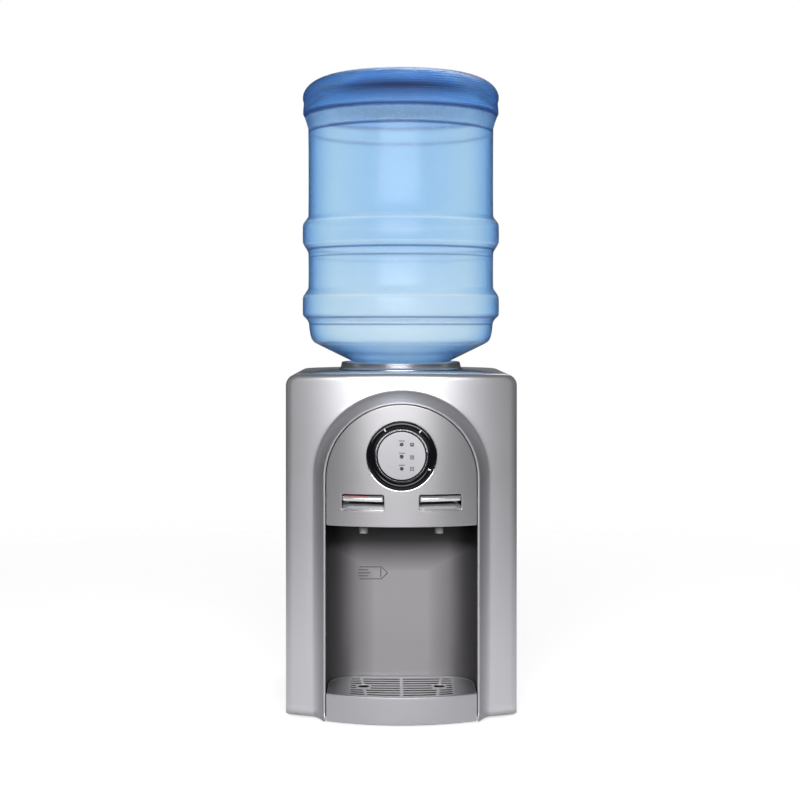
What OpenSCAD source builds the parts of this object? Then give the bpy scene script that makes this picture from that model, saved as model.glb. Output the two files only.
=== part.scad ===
// Countertop water dispenser: silver cabinet with an arched front, two push-lever taps, a drip tray
// that slides out and an inverted five-gallon bottle. Millimetres, +Z up, the front faces -Y.

/* [Cabinet] */
// Width over the side panels
cabinet_w = 300; // [290:1:310]
// Height of the cabinet above its feet
cabinet_h = 442; // [440:1:446]
// Height of the rubber feet
foot_h = 6; // [5:0.5:8]
// Wall of the moulded panels
wall = 3; // [2.5:0.5:3]
// Radius of the upright front corners
corner_r = 14; // [12:1:16]
// Plan radius of the bowed front
bow_r = 390; // [380:5:400]

/* [Arch] */
// Radius of the arch at its ridge
arch_r = 99; // [98:0.5:100]
// Height of the arch's springing line
arch_spring = 312.5; // [310:0.5:315]
// Width of the cove between the front and the ridge
cove_w = 15.5; // [14:0.5:16]
// Plan radius of the control panel and tray front
face_r = 226; // [225:1:228]

/* [Dispensing bay] */
// Inner width of the bay
bay_w = 194; // [190:1:194]
// Radius of the bay's rear corners
bay_corner_r = 40; // [30:1:44]
// Height of the bay's ceiling
bay_top = 262; // [260:1:264]
// Height of the drip tray's top
tray_top = 41; // [38:1:42]
// Distance of each tap from the middle
tap_x = 49; // [47:0.5:51]

/* [Bottle] */
// Largest diameter of the bottle
bottle_d = 270; // [266:1:272]
// Bottle wall
bottle_wall = 1.8; // [1.5:0.1:2.5]
// Height of the bottle's upturned base above the ground
bottle_top = 847.5; // [840:0.5:860]

/* [Hidden] */
$fn = 64;
tiny = 0.01;
foot_sink = 1;
floor_z = foot_h - foot_sink;           // lower edge of the panels
top_z = floor_z + cabinet_h;            // top of the cabinet
half_w = cabinet_w / 2;
rear_y = 160;                           // outer face of the rear panel
split_y = -70;                          // where the front moulding meets the side panels
bow_cy = 255;                           // centre of the front's bow
face_cy = 62;                           // centre of the control panel's bow
corner_x = half_w - corner_r;
corner_cy = bow_cy - sqrt(pow(bow_r - corner_r, 2) - pow(corner_x, 2));
arch_in = arch_r - 2;                   // opening inside the ridge
bay_rear = -49;                         // face of the bay's rear wall
bay_wall = 2.5;
tap_y = -104;
axis_y = 26;                            // the bottle's axis
face_z0 = 254.3;                        // lower edge of the control panel
face_t = 2.5;
face_out = arch_in - 1.2;               // half width of the control panel
badge_z = 344;
slot_w = 53.6;
slot_z0 = 274.5;
slot_z1 = 295;
pivot_y = -118.5;
pivot_z = 288;
pin_r = 1.5;
tray_w = 191;
tray_gap = 1;
tray_floor = floor_z + 4.3;
base_floor = 3;                         // thickness of the base pan's floor
seat_top = 457.5;
cone_slope = 0.49;                      // rise of the bottle's shoulder per unit of radius
cone_r0 = 62.6;
cone_z0 = 456;
tank_r = 70;
tank_z0 = 280;
tank_z1 = 364;
foam_r = 84;
fan_z = 318;
hot_x = -46;
hot_y = 58;
hot_r = 50;
hot_z0 = 82;                            // straight stretch of the hot tank
hot_z1 = 192;
screw_x = 138;                          // screws that hold the rear panel
screw_zs = [30, 220, 410];
foot_xs = [-120, 120];
foot_ys = [-80, 130];
lamp_r = 2;
lamp_step = 15.2;                       // pitch of the three lamps
gland_x = 100;                          // where the mains lead would enter
gland_z = 60;
drain_z = 40;
shell_corner_r = 15;                    // rounded top corners, seen from the front

// Outlines and small shapes

// Points along an arc, from angle a0 to a1 in n steps
function arc(cx, cy, r, a0, a1, n) =
    [for (i = [0:n]) [cx + r * cos(a0 + (a1 - a0) * i / n), cy + r * sin(a0 + (a1 - a0) * i / n)]];
// Where the bowed front and the bowed face lie, for a given x
function bow_y(x, r = bow_r) = bow_cy - sqrt(r * r - x * x);
function face_y(x, r = face_r) = face_cy - sqrt(r * r - x * x);
// Height of lamp i, which is -1, 0 or 1
function lamp_z(i) = badge_z - 1 + lamp_step * i;

// Plan of the front moulding, taken in by g, closed at y = back
function front_outline(g, back) =
    let (th = atan2(corner_cy - bow_cy, corner_x))
    concat([[half_w - g, back]],
        arc(corner_x, corner_cy, corner_r - g, 0, th, 8),
        arc(0, bow_cy, bow_r - g, th, -180 - th, 40),
        arc(-corner_x, corner_cy, corner_r - g, -180 - th, -180, 8),
        [[-half_w + g, back]]);

// Front view of the cabinet, with rounded top corners
module cabinet_front_shape(g = 0) {
    r = shell_corner_r;
    polygon(concat([[-half_w + g, floor_z - 1], [half_w - g, floor_z - 1]],
        arc(half_w - r, top_z - r, r - g, 0, 90, 12),
        arc(-half_w + r, top_z - r, r - g, 90, 180, 12)));
}

// Front view of an arch of radius r that starts at height z0
module arch_shape(r, z0) {
    polygon(concat([[-r, z0], [r, z0]], arc(0, arch_spring, r, 0, 180, 48)));
}

// Extrudes a front view along Y, from y0 to y1
module through_y(y0, y1) {
    translate([0, y1, 0]) rotate([90, 0, 0]) linear_extrude(y1 - y0) children();
}

// Plan of the bay, open towards the front, taken in by g
function bay_outline(g, front) =
    let (w = bay_w / 2 - g, r = bay_corner_r - g, yb = bay_rear - g)
    concat([[-w, front], [w, front]],
        arc(w - r, yb - r, r, 0, 90, 10), arc(-w + r, yb - r, r, 90, 180, 10));

// Plan of the drip tray, taken in by g
function tray_outline(g) =
    let (w = tray_w / 2 - g, r = bay_corner_r - tray_gap - g, yb = bay_rear - tray_gap - g,
         rf = face_r - g, a = asin(w / rf))
    concat(arc(0, face_cy, rf, 270 - a, 270 + a, 24),
        arc(w - r, yb - r, r, 0, 90, 10), arc(-w + r, yb - r, r, 90, 180, 10));

module tube(r, ri, h) {
    difference() {
        cylinder(r = r, h = h);
        translate([0, 0, -1]) cylinder(r = ri, h = h + 2);
    }
}

// A closed sweep through rings of points, each ring with the same count
function ring_faces(rings, n) = concat(
    [for (i = [0:rings - 2], j = [0:n - 1]) [i * n + j, i * n + (j + 1) % n, (i + 1) * n + (j + 1) % n]],
    [for (i = [0:rings - 2], j = [0:n - 1]) [i * n + j, (i + 1) * n + (j + 1) % n, (i + 1) * n + j]],
    [[for (j = [n - 1:-1:0]) j], [for (j = [0:n - 1]) (rings - 1) * n + j]]);

// Outer shell

// Section of the cove: offset outwards from the ridge, how far it has sunk from the ridge (0) to the
// bowed front (1), and depth behind that surface
cove_steps = 8;
ridge_depth = 14;
cove_section = concat(
    [for (i = [cove_steps:-1:0]) let (u = i / cove_steps) [u * cove_w, 1 - pow(1 - u, 2), 0]],
    [[-2, 0, 0], [-2, 0, ridge_depth], [1, 0, ridge_depth]],
    [for (i = [2:2:cove_steps - 1]) let (u = i / cove_steps)
        [1 + u * (cove_w - 1), 1 - pow(1 - u, 2), wall + 3 * (1 - u)]],
    [[cove_w, 1, wall]]);
function cove_point(s, cx, nx, nz, z) =
    let (x = cx + s[0] * nx, ridge = face_y(min(abs(cx), arch_r)) - 0.5)
    [x, ridge * (1 - s[1]) + bow_y(x) * s[1] + s[2], z + s[0] * nz];
cove_rings = concat(
    [for (z = [floor_z, arch_spring - 12]) [for (s = cove_section) cove_point(s, arch_r, 1, 0, z)]],
    [for (i = [0:40]) let (a = 4.5 * i)
        [for (s = cove_section) cove_point(s, arch_r * cos(a), cos(a), sin(a), arch_spring + arch_r * sin(a))]],
    [for (z = [arch_spring - 12, floor_z]) [for (s = cove_section) cove_point(s, -arch_r, -1, 0, z)]]);

module arch_surround() color([0.5, 0.5, 0.52])
    polyhedron([for (r = cove_rings, p = r) p], ring_faces(len(cove_rings), len(cove_section)));

// Solid of revolution about the bow's axis, which rounds the top front edge; it stands a hair proud
// of the outline below that edge
edge_r = 7.5;
proud = 0.1;
module bowed_block(g, h) {
    r = edge_r - g;
    ro = bow_r - edge_r + proud;
    translate([0, bow_cy, floor_z]) rotate([0, 0, 240]) rotate_extrude(angle = 60, $fn = 256)
        polygon(concat([[bow_r - 120, -2], [ro + r, -2]], arc(ro, h - edge_r, r, 0, 90, 6),
            [[bow_r - 120, h - g]]));
}

module front_panel() color([0.74, 0.74, 0.76]) difference() {
    intersection() {
        translate([0, 0, floor_z]) linear_extrude(cabinet_h) polygon(front_outline(0, split_y));
        through_y(-200, 0) cabinet_front_shape();
        bowed_block(0, cabinet_h);
    }
    intersection() {
        translate([0, 0, floor_z - 1]) linear_extrude(cabinet_h - wall + 1)
            polygon(front_outline(wall, split_y + 1));
        bowed_block(wall, cabinet_h);
    }
    through_y(-200, 0) arch_shape(arch_r + cove_w + 0.02, 0);
}

module control_panel() color([0.66, 0.66, 0.68]) {
    difference() {
        intersection() {
            union() {
                translate([0, face_cy, face_z0]) tube(face_r, face_r - face_t, 160, $fn = 256);
                // stiffening ledge along the lower edge
                translate([0, face_cy, face_z0]) tube(face_r - 1, face_r - 12, 2.5, $fn = 256);
            }
            through_y(-200, -100) arch_shape(face_out, face_z0);
        }
        translate([0, -100, badge_z]) rotate([90, 0, 0]) cylinder(r = 38, h = 100);
        for (s = [-1, 1]) translate([s * tap_x - slot_w / 2, -200, slot_z0])
            cube([slot_w, 100, slot_z1 - slot_z0]);
    }
}

// Round parts of the badge, turned about an axis along Y; the outline holds [radius, y]
module badge_turned(points) {
    translate([0, 0, badge_z]) rotate([90, 0, 0]) mirror([0, 0, 1]) rotate_extrude($fn = 96) polygon(points);
}
module behind_face() translate([0, face_cy, badge_z - 60]) cylinder(r = face_r + 0.05, h = 120, $fn = 256);
module badge_bezel() color([0.85, 0.85, 0.86]) difference() {
    badge_turned([[42.6, -150], [44.4, -150], [44.4, -165], [43.9, -165.8], [42.6, -165.8]]);
    behind_face();
}
module badge_ring() color([0.04, 0.04, 0.045]) {
    difference() {
        badge_turned([[42.5, -150], [42.5, -166], [41.6, -167.2], [39.5, -168], [36.5, -168], [34.6, -167.4],
            [32, -164.5], [32, -150]]);
        behind_face();
    }
    badge_turned([[37.6, -152], [37.6, -166.5], [34, -166.7], [31, -163.4], [31, -161], [30.2, -160.8],
        [30.2, -152]]);
}
module badge_disc() color([0.86, 0.86, 0.9]) difference() {
    badge_turned([[0, -162.8], [29.6, -162.8], [30.1, -162.3], [30.1, -160.8], [0, -160.8]]);
    for (i = [-1:1]) translate([0, -150, lamp_z(i)]) rotate([90, 0, 0]) cylinder(r = 2.2, h = 20);
}
// Three plain pictograms beside the lamps: a plug, a heat wave and a snowflake, with a bar over each lamp
module badge_icons() color([0.25, 0.2, 0.24]) {
    for (i = [-1:1]) through_y(-163.1, -162.8) translate([-3.5, lamp_z(i) + 5.6]) square([7, 0.8]);
    through_y(-163.1, -162.8) translate([13, badge_z + 14.2]) {
        translate([-2, -2]) square([4, 3]);
        for (s = [-1, 1]) translate([s * 1.1 - 0.4, 0.9]) square([0.8, 1.8]);
        translate([-0.4, -3]) square([0.8, 1.2]);
    }
    for (j = [-1:1]) through_y(-163.1, -162.8) translate([13 + 1.6 * j, badge_z - 1]) {
        translate([-0.4, -2.2]) square([0.8, 2]);
        translate([-0.1, -0.4]) square([0.8, 2.4]);
    }
    through_y(-163.1, -162.8) translate([13, badge_z - 16.2])
        for (a = [0:60:120]) rotate(a) translate([-2.4, -0.3]) square([4.8, 0.6]);
}
module lamp(i) {
    translate([0, -162.9, lamp_z(i)]) rotate([90, 0, 0]) {
        cylinder(r1 = lamp_r, r2 = 1.4, h = 0.8, $fn = 32);
        translate([0, 0, -4.1]) cylinder(r = lamp_r, h = 4.12, $fn = 32);
    }
}
module badge_lamps() {
    color([0.5, 0.08, 0.08]) lamp(1);
    color([0.55, 0.3, 0.05]) lamp(0);
    color([0.1, 0.35, 0.15]) lamp(-1);
}
module indicator_board() color([0.1, 0.35, 0.18]) {
    translate([-16, -156.4, badge_z - 24]) cube([32, 1.6, 46]);
    for (i = [-1:1]) translate([0, -158.78, lamp_z(i)]) rotate([-90, 0, 0]) cylinder(r = 2.5, h = 2.5);
    translate([-14, -155, badge_z - 20]) cube([8, 6, 6]);
    translate([8, -155, badge_z - 16]) cube([6, 3, 12]);
}

// Outline of a tag with a pointed end, drawn as a thin raised line
module tag_line(l, h, t) {
    difference() {
        polygon([[0, 0], [l - h / 2, 0], [l, h / 2], [l - h / 2, h], [0, h]]);
        polygon([[t, t], [l - h / 2 - t / 3, t], [l - t * 1.4, h / 2], [l - h / 2 - t / 3, h - t], [t, h - t]]);
    }
    for (i = [1:3]) translate([t / 2, i * h / 4 - t / 2]) square([l * 0.3, t]);
}

module bay_liner() color([0.5, 0.49, 0.51]) {
    z0 = floor_z + 1 + base_floor;
    front = -127.5;
    difference() {
        translate([0, 0, z0]) linear_extrude(bay_top + bay_wall - z0) polygon(bay_outline(-bay_wall, front));
        translate([0, 0, z0 - 1]) linear_extrude(bay_top - z0 + 1) polygon(bay_outline(0, front - 1));
        for (s = [-1, 1]) translate([s * tap_x, tap_y, bay_top - 1]) cylinder(r = 7, h = 5);
    }
    // raised guide mark on the rear wall
    through_y(bay_rear - 0.5, bay_rear + 1) translate([-57, 170]) tag_line(39, 16, 1);
}

module base_outline(g) polygon(front_outline(wall + 0.3 + g, 157 - g));
module base_pan() color([0.2, 0.2, 0.21]) {
    z0 = floor_z + 1;
    w = bay_w / 2 + bay_wall + 0.3;
    difference() {
        translate([0, 0, z0]) linear_extrude(16) base_outline(0);
        translate([0, 0, z0 + base_floor]) linear_extrude(20) base_outline(2.5);
        translate([-w, -200, z0 + base_floor]) cube([2 * w, 130, 20]);
        translate([-w, -200, z0 - 1]) cube([2 * w, 70, 20]);
        for (x = foot_xs, y = foot_ys) translate([x, y, z0 - 1]) cylinder(r = 3, h = 10);
    }
}
module foot(x, y) color([0.08, 0.08, 0.08]) translate([x, y, 0]) {
    cylinder(r1 = 11, r2 = 13, h = foot_h);
    translate([0, 0, foot_h - tiny]) cylinder(r = 2.9, h = base_floor + 2 * tiny);
    translate([0, 0, foot_h + base_floor]) cylinder(r1 = 4.2, r2 = 2.5, h = 2);
}
module rubber_feet() for (x = foot_xs, y = foot_ys) foot(x, y);

// Folded steel side: outer sheet with a return along the rear
module side_panel(s) color([0.6, 0.6, 0.63]) {
    z0 = floor_z;
    z1 = top_z - 18;
    mirror([s < 0 ? 1 : 0, 0, 0]) difference() {
        union() {
            translate([half_w - 1.2, split_y + 0.4, z0]) cube([1.2, rear_y - 2.5 - split_y - 0.4, z1 - z0]);
            translate([half_w - 20, rear_y - 3.7, z0 + 18]) cube([19, 1.2, z1 - z0 - 18]);
        }
        for (z = screw_zs) translate([screw_x, rear_y - 10, z]) rotate([-90, 0, 0]) cylinder(r = 2.1, h = 10);
    }
}
module side_panel_left() side_panel(-1);
module side_panel_right() side_panel(1);

module rear_panel() color([0.42, 0.42, 0.44]) difference() {
    translate([-half_w, rear_y - 2.4, floor_z]) cube([cabinet_w, 2.4, cabinet_h - 18.4]);
    // grille behind the fan
    for (i = [-6:6]) let (h = sqrt(46 * 46 - pow(7 * i, 2)))
        translate([7 * i - 1.6, rear_y - 5, fan_z - h]) cube([3.2, 10, 2 * h]);
    // lower vents
    for (i = [0:11]) translate([-110 + 20 * i - 7, rear_y - 5, 150]) cube([14, 10, 3.5]);
    for (i = [0:11]) translate([-110 + 20 * i - 7, rear_y - 5, 160]) cube([14, 10, 3.5]);
    for (x = switch_x) translate([x - 6.7, rear_y - 5, switch_z - 10.7]) cube([13.4, 10, 21.4]);
    translate([gland_x, rear_y - 5, gland_z]) rotate([-90, 0, 0]) cylinder(r = 8, h = 10);
    translate([hot_x, rear_y - 5, drain_z]) rotate([-90, 0, 0]) cylinder(r = 10.5, h = 10);
    for (x = [-screw_x, screw_x], z = screw_zs)
        translate([x, rear_y - 5, z]) rotate([-90, 0, 0]) cylinder(r = 2.1, h = 10);
}
module panel_screws() color([0.75, 0.75, 0.77])
    for (x = [-screw_x, screw_x], z = screw_zs) translate([x, rear_y + 2, z]) rotate([90, 0, 0]) {
        cylinder(r1 = 2.6, r2 = 4, h = 1, $fn = 32);
        translate([0, 0, 0.99]) cylinder(r = 4, h = 1.01, $fn = 32);
        translate([0, 0, 2]) cylinder(r = 1.9, h = 6, $fn = 24);
    }

module top_cover() color([0.62, 0.62, 0.65]) {
    z0 = top_z - 17.6;
    y0 = split_y + 0.4;
    r = 14;
    outline = concat([[-half_w, y0], [half_w, y0]],
        arc(half_w - r, rear_y - r, r, 0, 90, 8), arc(-half_w + r, rear_y - r, r, 90, 180, 8));
    difference() {
        intersection() {
            translate([0, 0, z0]) linear_extrude(17.6) polygon(outline);
            through_y(-200, 200) cabinet_front_shape();
        }
        intersection() {
            translate([-half_w + 3, y0 - 1, z0 - 1]) cube([cabinet_w - 6, rear_y - y0 - 2, 15.6]);
            through_y(-200, 200) cabinet_front_shape(3);
        }
        translate([0, axis_y, z0]) cylinder(r = 78.4, h = 30);
    }
}

// Bottle and its seat

function cone_z(r) = cone_z0 + (r - cone_r0) * cone_slope;

module bottle_seat() color([0.58, 0.58, 0.6]) translate([0, axis_y, 0]) rotate_extrude($fn = 96) polygon([
    [85.4, top_z + 0.1], [85.4, top_z + 1.2], [83, top_z + 2], [81.8, seat_top - 2], [81.2, seat_top - 0.6],
    [79.8, seat_top], [78, seat_top - 0.4], [77, seat_top - 1.5], [75.4, top_z + 0.4], [73.5, top_z - 1.5],
    [66, top_z - 1.5], [61, cone_z(61) - 1.4], [60, cone_z(60) - 0.4], [50, cone_z(50) - 0.4],
    [44, 444], [36, 436], [36, 372], [33, 369.2], [15, 369.2], [15, 366.5], [38.5, 366.5], [38.5, 434.5],
    [50, 443], [58, 443.5], [70, 442.5], [77.9, 443], [77.9, top_z + 0.1]]);
module seat_gasket() color([0.85, 0.85, 0.85]) translate([0, axis_y, tank_z1 + 1.2]) tube(37, 16, 1.2);

// Hollow spike that opens the bottle's cap, with a window on each side near its tip
module probe_tube() color([0.9, 0.9, 0.88]) translate([0, axis_y, 0]) difference() {
    rotate_extrude() polygon([[6.5, 340], [8.6, 340], [8.6, 363], [14.9, 363], [14.9, 369.2], [9, 370.5],
        [9, 400], [8, 404], [5, 407], [0.6, 408.5], [0, 408.5], [0, 406], [4, 405], [6.5, 401]]);
    translate([-12, -2.2, 386]) cube([24, 4.4, 11]);
}

rib = bottle_d / 2;
body_r = rib - 7.6;
shoulder_z = cone_z0 + (116 - cone_r0) * cone_slope;
// The upturned base is a flattened dome; t takes it in by the wall's thickness
dome_w = 45;
dome_h = 28;
function dome(t) = concat(
    [for (a = [0:8:80]) [rib - dome_w + (dome_w - t) * cos(a), bottle_top - dome_h + (dome_h - t) * sin(a)]],
    [[60, bottle_top - t], [0, bottle_top - t]]);
// The bottle's outer profile from the mouth upwards, as [radius, height]
bottle_profile = concat(
    [[27, 376], [28.6, 377.5], [28.6, 384], [30, 386], [30, 390], [28.6, 392], [28.6, 434],
     [30.5, cone_z(34)], [116, shoulder_z]],
    [[121.5, shoulder_z + 5], [125, shoulder_z + 13], [126.6, shoulder_z + 24],
     [body_r + 0.5, 512], [rib - 2.2, 517.5]],
    [[rib, 521], [rib, 544.5], [rib - 1.6, 549], [body_r, 558]],
    [[body_r, 606], [rib - 1.8, 617.5], [rib, 621], [rib, 644], [rib - 1.6, 648.5], [body_r, 656]],
    [[body_r, 778], [rib - 1.6, 796], [rib, 800]],
    dome(0));
function inward(p, t) = [for (q = p) [max(q[0] - t, 0), q[1]]];
bottle_inner = concat(
    [[25.2, 376], [26, 434], [29.5, cone_z(34) + 2.2], [114.8, shoulder_z + 2]],
    inward([for (i = [9:len(bottle_profile) - 1 - len(dome(0))]) bottle_profile[i]], bottle_wall),
    dome(bottle_wall));
function reversed(p) = [for (i = [len(p) - 1:-1:0]) p[i]];

// The stretch of the bottle between two heights; the six stretches meet edge to edge
module bottle_stretch(z0, z1) color([0.45, 0.68, 0.92], 0.5) translate([0, axis_y, 0]) intersection() {
    rotate_extrude($fn = 96) polygon(concat(bottle_profile, reversed(bottle_inner)));
    translate([0, 0, z0]) cylinder(r = 160, h = z1 - z0, $fn = 96);
}
neck_end = 436;
cone_end = 484;
shoulder_end = 512;
wall_middle = 590;
wall_end = 798;
module bottle_neck() bottle_stretch(370, neck_end);
module bottle_cone() bottle_stretch(neck_end, cone_end);
module bottle_shoulder() bottle_stretch(cone_end, shoulder_end);
module bottle_wall_lower() bottle_stretch(shoulder_end, wall_middle);
module bottle_wall_upper() bottle_stretch(wall_middle, wall_end);
module bottle_base() bottle_stretch(wall_end, bottle_top + 1);

module bottle_cap() color([0.2, 0.4, 0.8]) translate([0, axis_y, 0]) rotate_extrude() polygon([
    [28.8, 375.8], [28.8, 384.4], [30.2, 385.8], [30.2, 390.4], [28.8, 392.2], [28.8, 400], [31.6, 400],
    [31.6, 374], [30, 373], [11.5, 373], [9.4, 374.5], [9.4, 394], [11, 394], [11, 375.8]]);
// Loose centre plug of the cap, pushed up by the probe
module cap_plug() color([0.85, 0.88, 0.92]) translate([0, axis_y, 0]) rotate_extrude() polygon([
    [0, 409], [9.3, 409], [9.3, 403], [10.6, 403], [10.6, 411], [0, 411]]);

// Cooling

module cold_tank() color([0.78, 0.79, 0.8]) translate([0, axis_y, 0]) difference() {
    union() {
        translate([0, 0, tank_z0]) cylinder(r = tank_r, h = tank_z1 - tank_z0);
        translate([0, 0, tank_z1 - 1.2]) cylinder(r = tank_r + 5, h = 1.2);
        translate([tap_x, 0, tank_z0 + 9]) rotate([90, 0, 0]) cylinder(r = 5, h = 76);
        translate([-20, 0, tank_z0 - 24]) cylinder(r = 5, h = 25);
    }
    translate([0, 0, tank_z0 + 1.2]) cylinder(r = tank_r - 1.2, h = 200);
    translate([tap_x, 0, tank_z0 + 9]) rotate([90, 0, 0]) cylinder(r = 3.8, h = 77);
    translate([-20, 0, tank_z0 - 25]) cylinder(r = 3.8, h = 30);
}
// Closes the tank and holds the still water off the cold bottom layer
module tank_baffle() color([0.9, 0.9, 0.9]) translate([0, axis_y, 0]) {
    difference() {
        translate([0, 0, tank_z1]) cylinder(r = tank_r + 5, h = 1.2);
        translate([0, 0, tank_z1 - 1]) cylinder(r = 15, h = 5);
    }
    difference() {
        translate([0, 0, 330]) cylinder(r = 60, h = 2);
        translate([0, 0, 329]) cylinder(r = 8.8, h = 5);
        for (a = [30:60:330]) rotate(a) translate([42, 0, 329]) cylinder(r = 5, h = 5);
    }
    for (a = [0:120:240]) rotate(a + 45) translate([55, 0, 331.9]) cylinder(r = 2, h = tank_z1 - 331.8);
}

module foam_half(s) color([0.93, 0.93, 0.9]) translate([0, axis_y, 0]) difference() {
    translate([0, 0, tank_z0 - 14]) cylinder(r = foam_r, h = tank_z1 - tank_z0 + 11.5);
    translate([0, 0, tank_z0 - 0.2]) cylinder(r = tank_r + 0.2, h = 200);
    translate([s > 0 ? -200 : -0.05, -100, 0]) cube([200.05, 200, 500]);
    translate([-21, 0, fan_z - 21]) cube([42, 200, 42]);
    translate([tap_x, 0, tank_z0 + 9]) rotate([90, 0, 0]) cylinder(r = 7.2, h = 100);
    translate([-20, 0, tank_z0 - 20]) cylinder(r = 5.6, h = 30);
}
module foam_shell() for (s = [-1, 1]) foam_half(s);

module cold_block() color([0.8, 0.8, 0.8]) difference() {
    translate([-20, axis_y + tank_r - 6, fan_z - 20]) cube([40, 19, 40]);
    translate([0, axis_y, fan_z - 30]) cylinder(r = tank_r + 0.1, h = 60);
}
module peltier_module() color([0.92, 0.92, 0.9])
    translate([-20, axis_y + tank_r + 13.05, fan_z - 20]) cube([40, 3.9, 40]);
module heat_sink() color([0.7, 0.7, 0.72]) {
    translate([-48, axis_y + tank_r + 17, fan_z - 45]) cube([96, 5, 90]);
    for (i = [0:15]) translate([-48 + 6.32 * i, axis_y + tank_r + 21.9, fan_z - 45]) cube([1.2, 19, 90]);
}
module fan_frame() color([0.08, 0.08, 0.09]) {
    y0 = axis_y + tank_r + 41;
    translate([0, y0, fan_z]) rotate([-90, 0, 0]) {
        difference() {
            translate([-46, -46, 0]) cube([92, 92, 15]);
            translate([0, 0, -1]) cylinder(r = 43.5, h = 20);
            for (x = [-41, 41], y = [-41, 41]) translate([x, y, -1]) cylinder(r = 2.2, h = 20);
        }
        difference() {
            union() {
                translate([0, 0, 12.5]) cylinder(r = 16, h = 2.5);
                translate([0, 0, 8]) cylinder(r = 4, h = 5);
                for (a = [45:90:315]) rotate(a) translate([15, -2, 12.5]) cube([29, 4, 2.5]);
            }
            translate([0, 0, 7]) cylinder(r = 1.55, h = 20);
        }
    }
}
module fan_rotor() color([0.12, 0.12, 0.13])
    translate([0, axis_y + tank_r + 41, fan_z]) rotate([-90, 0, 0]) {
        difference() {
            translate([0, 0, 0.8]) cylinder(r = 18, h = 11);
            translate([0, 0, 3]) cylinder(r = 16.5, h = 20);
        }
        translate([0, 0, 2.5]) cylinder(r = 1.5, h = 11);
        for (a = [0:360 / 7:359]) rotate(a) translate([17, 0, 6.2]) rotate([32, 0, 0]) translate([0, -0.7, -5])
            intersection() {
                cube([25.5, 1.4, 10]);
                translate([-17, 0, 5]) rotate([-32, 0, 0]) translate([0, 0, -20]) cylinder(r = 42.3, h = 40);
            }
    }

// Heating

module hot_tank() color([0.76, 0.77, 0.78]) translate([hot_x, hot_y, 0]) difference() {
    union() {
        translate([0, 0, hot_z0 - 10]) cylinder(r1 = 40, r2 = hot_r, h = 10);
        translate([0, 0, hot_z0]) cylinder(r = hot_r, h = hot_z1 - hot_z0);
        translate([0, 0, hot_z1]) cylinder(r1 = hot_r, r2 = 38, h = 12);
        translate([-20, 0, 200]) cylinder(r = 5, h = 16);
        translate([20, 0, 200]) cylinder(r = 5, h = 16);
        translate([0, 0, 58]) cylinder(r = 5, h = 16);
    }
    translate([0, 0, hot_z0 - 8.8]) cylinder(r1 = 38.8, r2 = hot_r - 1.2, h = 9);
    translate([0, 0, hot_z0]) cylinder(r = hot_r - 1.2, h = hot_z1 - hot_z0);
    translate([0, 0, hot_z1 - 0.1]) cylinder(r1 = hot_r - 1.2, r2 = 37, h = 10.9);
    translate([-20, 0, 199]) cylinder(r = 3.8, h = 20);
    translate([20, 0, 199]) cylinder(r = 3.8, h = 20);
    translate([0, 0, 57]) cylinder(r = 3.8, h = 18);
}
module hot_tank_jacket() color([0.9, 0.86, 0.7])
    translate([hot_x, hot_y, hot_z0 + 2]) tube(62, 54.4, hot_z1 - hot_z0 - 4);
module heater_band() color([0.6, 0.45, 0.3]) translate([hot_x, hot_y, 0]) {
    translate([0, 0, hot_z0 + 14]) tube(54.2, hot_r + 0.1, 50);
}
module hot_tank_thermostats() color([0.15, 0.15, 0.16]) translate([hot_x, hot_y, 204.1])
    for (s = [-1, 1]) translate([0, s * 18, 0]) {
        cylinder(r = 8, h = 7);
        for (t = [-1, 1]) translate([t * 4 - 2.5, -0.4, 6.9]) cube([5, 0.8, 7]);
    }

// Silicone runs between the tanks, the taps and the drain, pushed over the stubs; each bend has a
// moulded elbow a little thicker than the run
hose_r = 6.6;
hose_bore = 5.03;
inlet_z = 272.6;                        // height of the taps' inlets
module hose(points) difference() {
    union() {
        for (i = [0:len(points) - 2]) hose_piece(points[i], points[i + 1], hose_r, 0);
        for (i = [1:len(points) - 2]) translate(points[i]) sphere(r = hose_r + 0.5);
    }
    for (i = [0:len(points) - 2]) hose_piece(points[i], points[i + 1], hose_bore, 1);
    for (i = [1:len(points) - 2]) translate(points[i]) sphere(r = hose_bore + 0.3);
}
// A straight length from a to b, longer by e at both ends
module hose_piece(a, b, r, e) {
    d = b - a;
    l = norm(d);
    translate(a) rotate([0, acos(d[2] / l), atan2(d[1], d[0])])
        translate([0, 0, -e]) cylinder(r = r, h = l + 2 * e);
}
module water_pipes() color([0.88, 0.88, 0.86]) {
    // cold water to its tap
    hose([[tap_x, -43, tank_z0 + 9], [tap_x, -54, tank_z0 + 9], [tap_x, -70, inlet_z], [tap_x, -84, inlet_z]]);
    // hot water to its tap, round the side of the cold tank
    hose([[hot_x - 20, hot_y, 208], [hot_x - 20, hot_y, 236], [-98, 0, 250], [-98, -52, inlet_z],
        [-tap_x, -68, inlet_z], [-tap_x, -84, inlet_z]]);
    // supply from the cold tank down to the hot tank
    hose([[-20, axis_y, 265], [-20, axis_y, 246], [hot_x + 20, hot_y, 230], [hot_x + 20, hot_y, 208]]);
    // drain
    hose([[hot_x, hot_y, 64], [hot_x, hot_y, drain_z], [hot_x, 156, drain_z]]);
}

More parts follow.
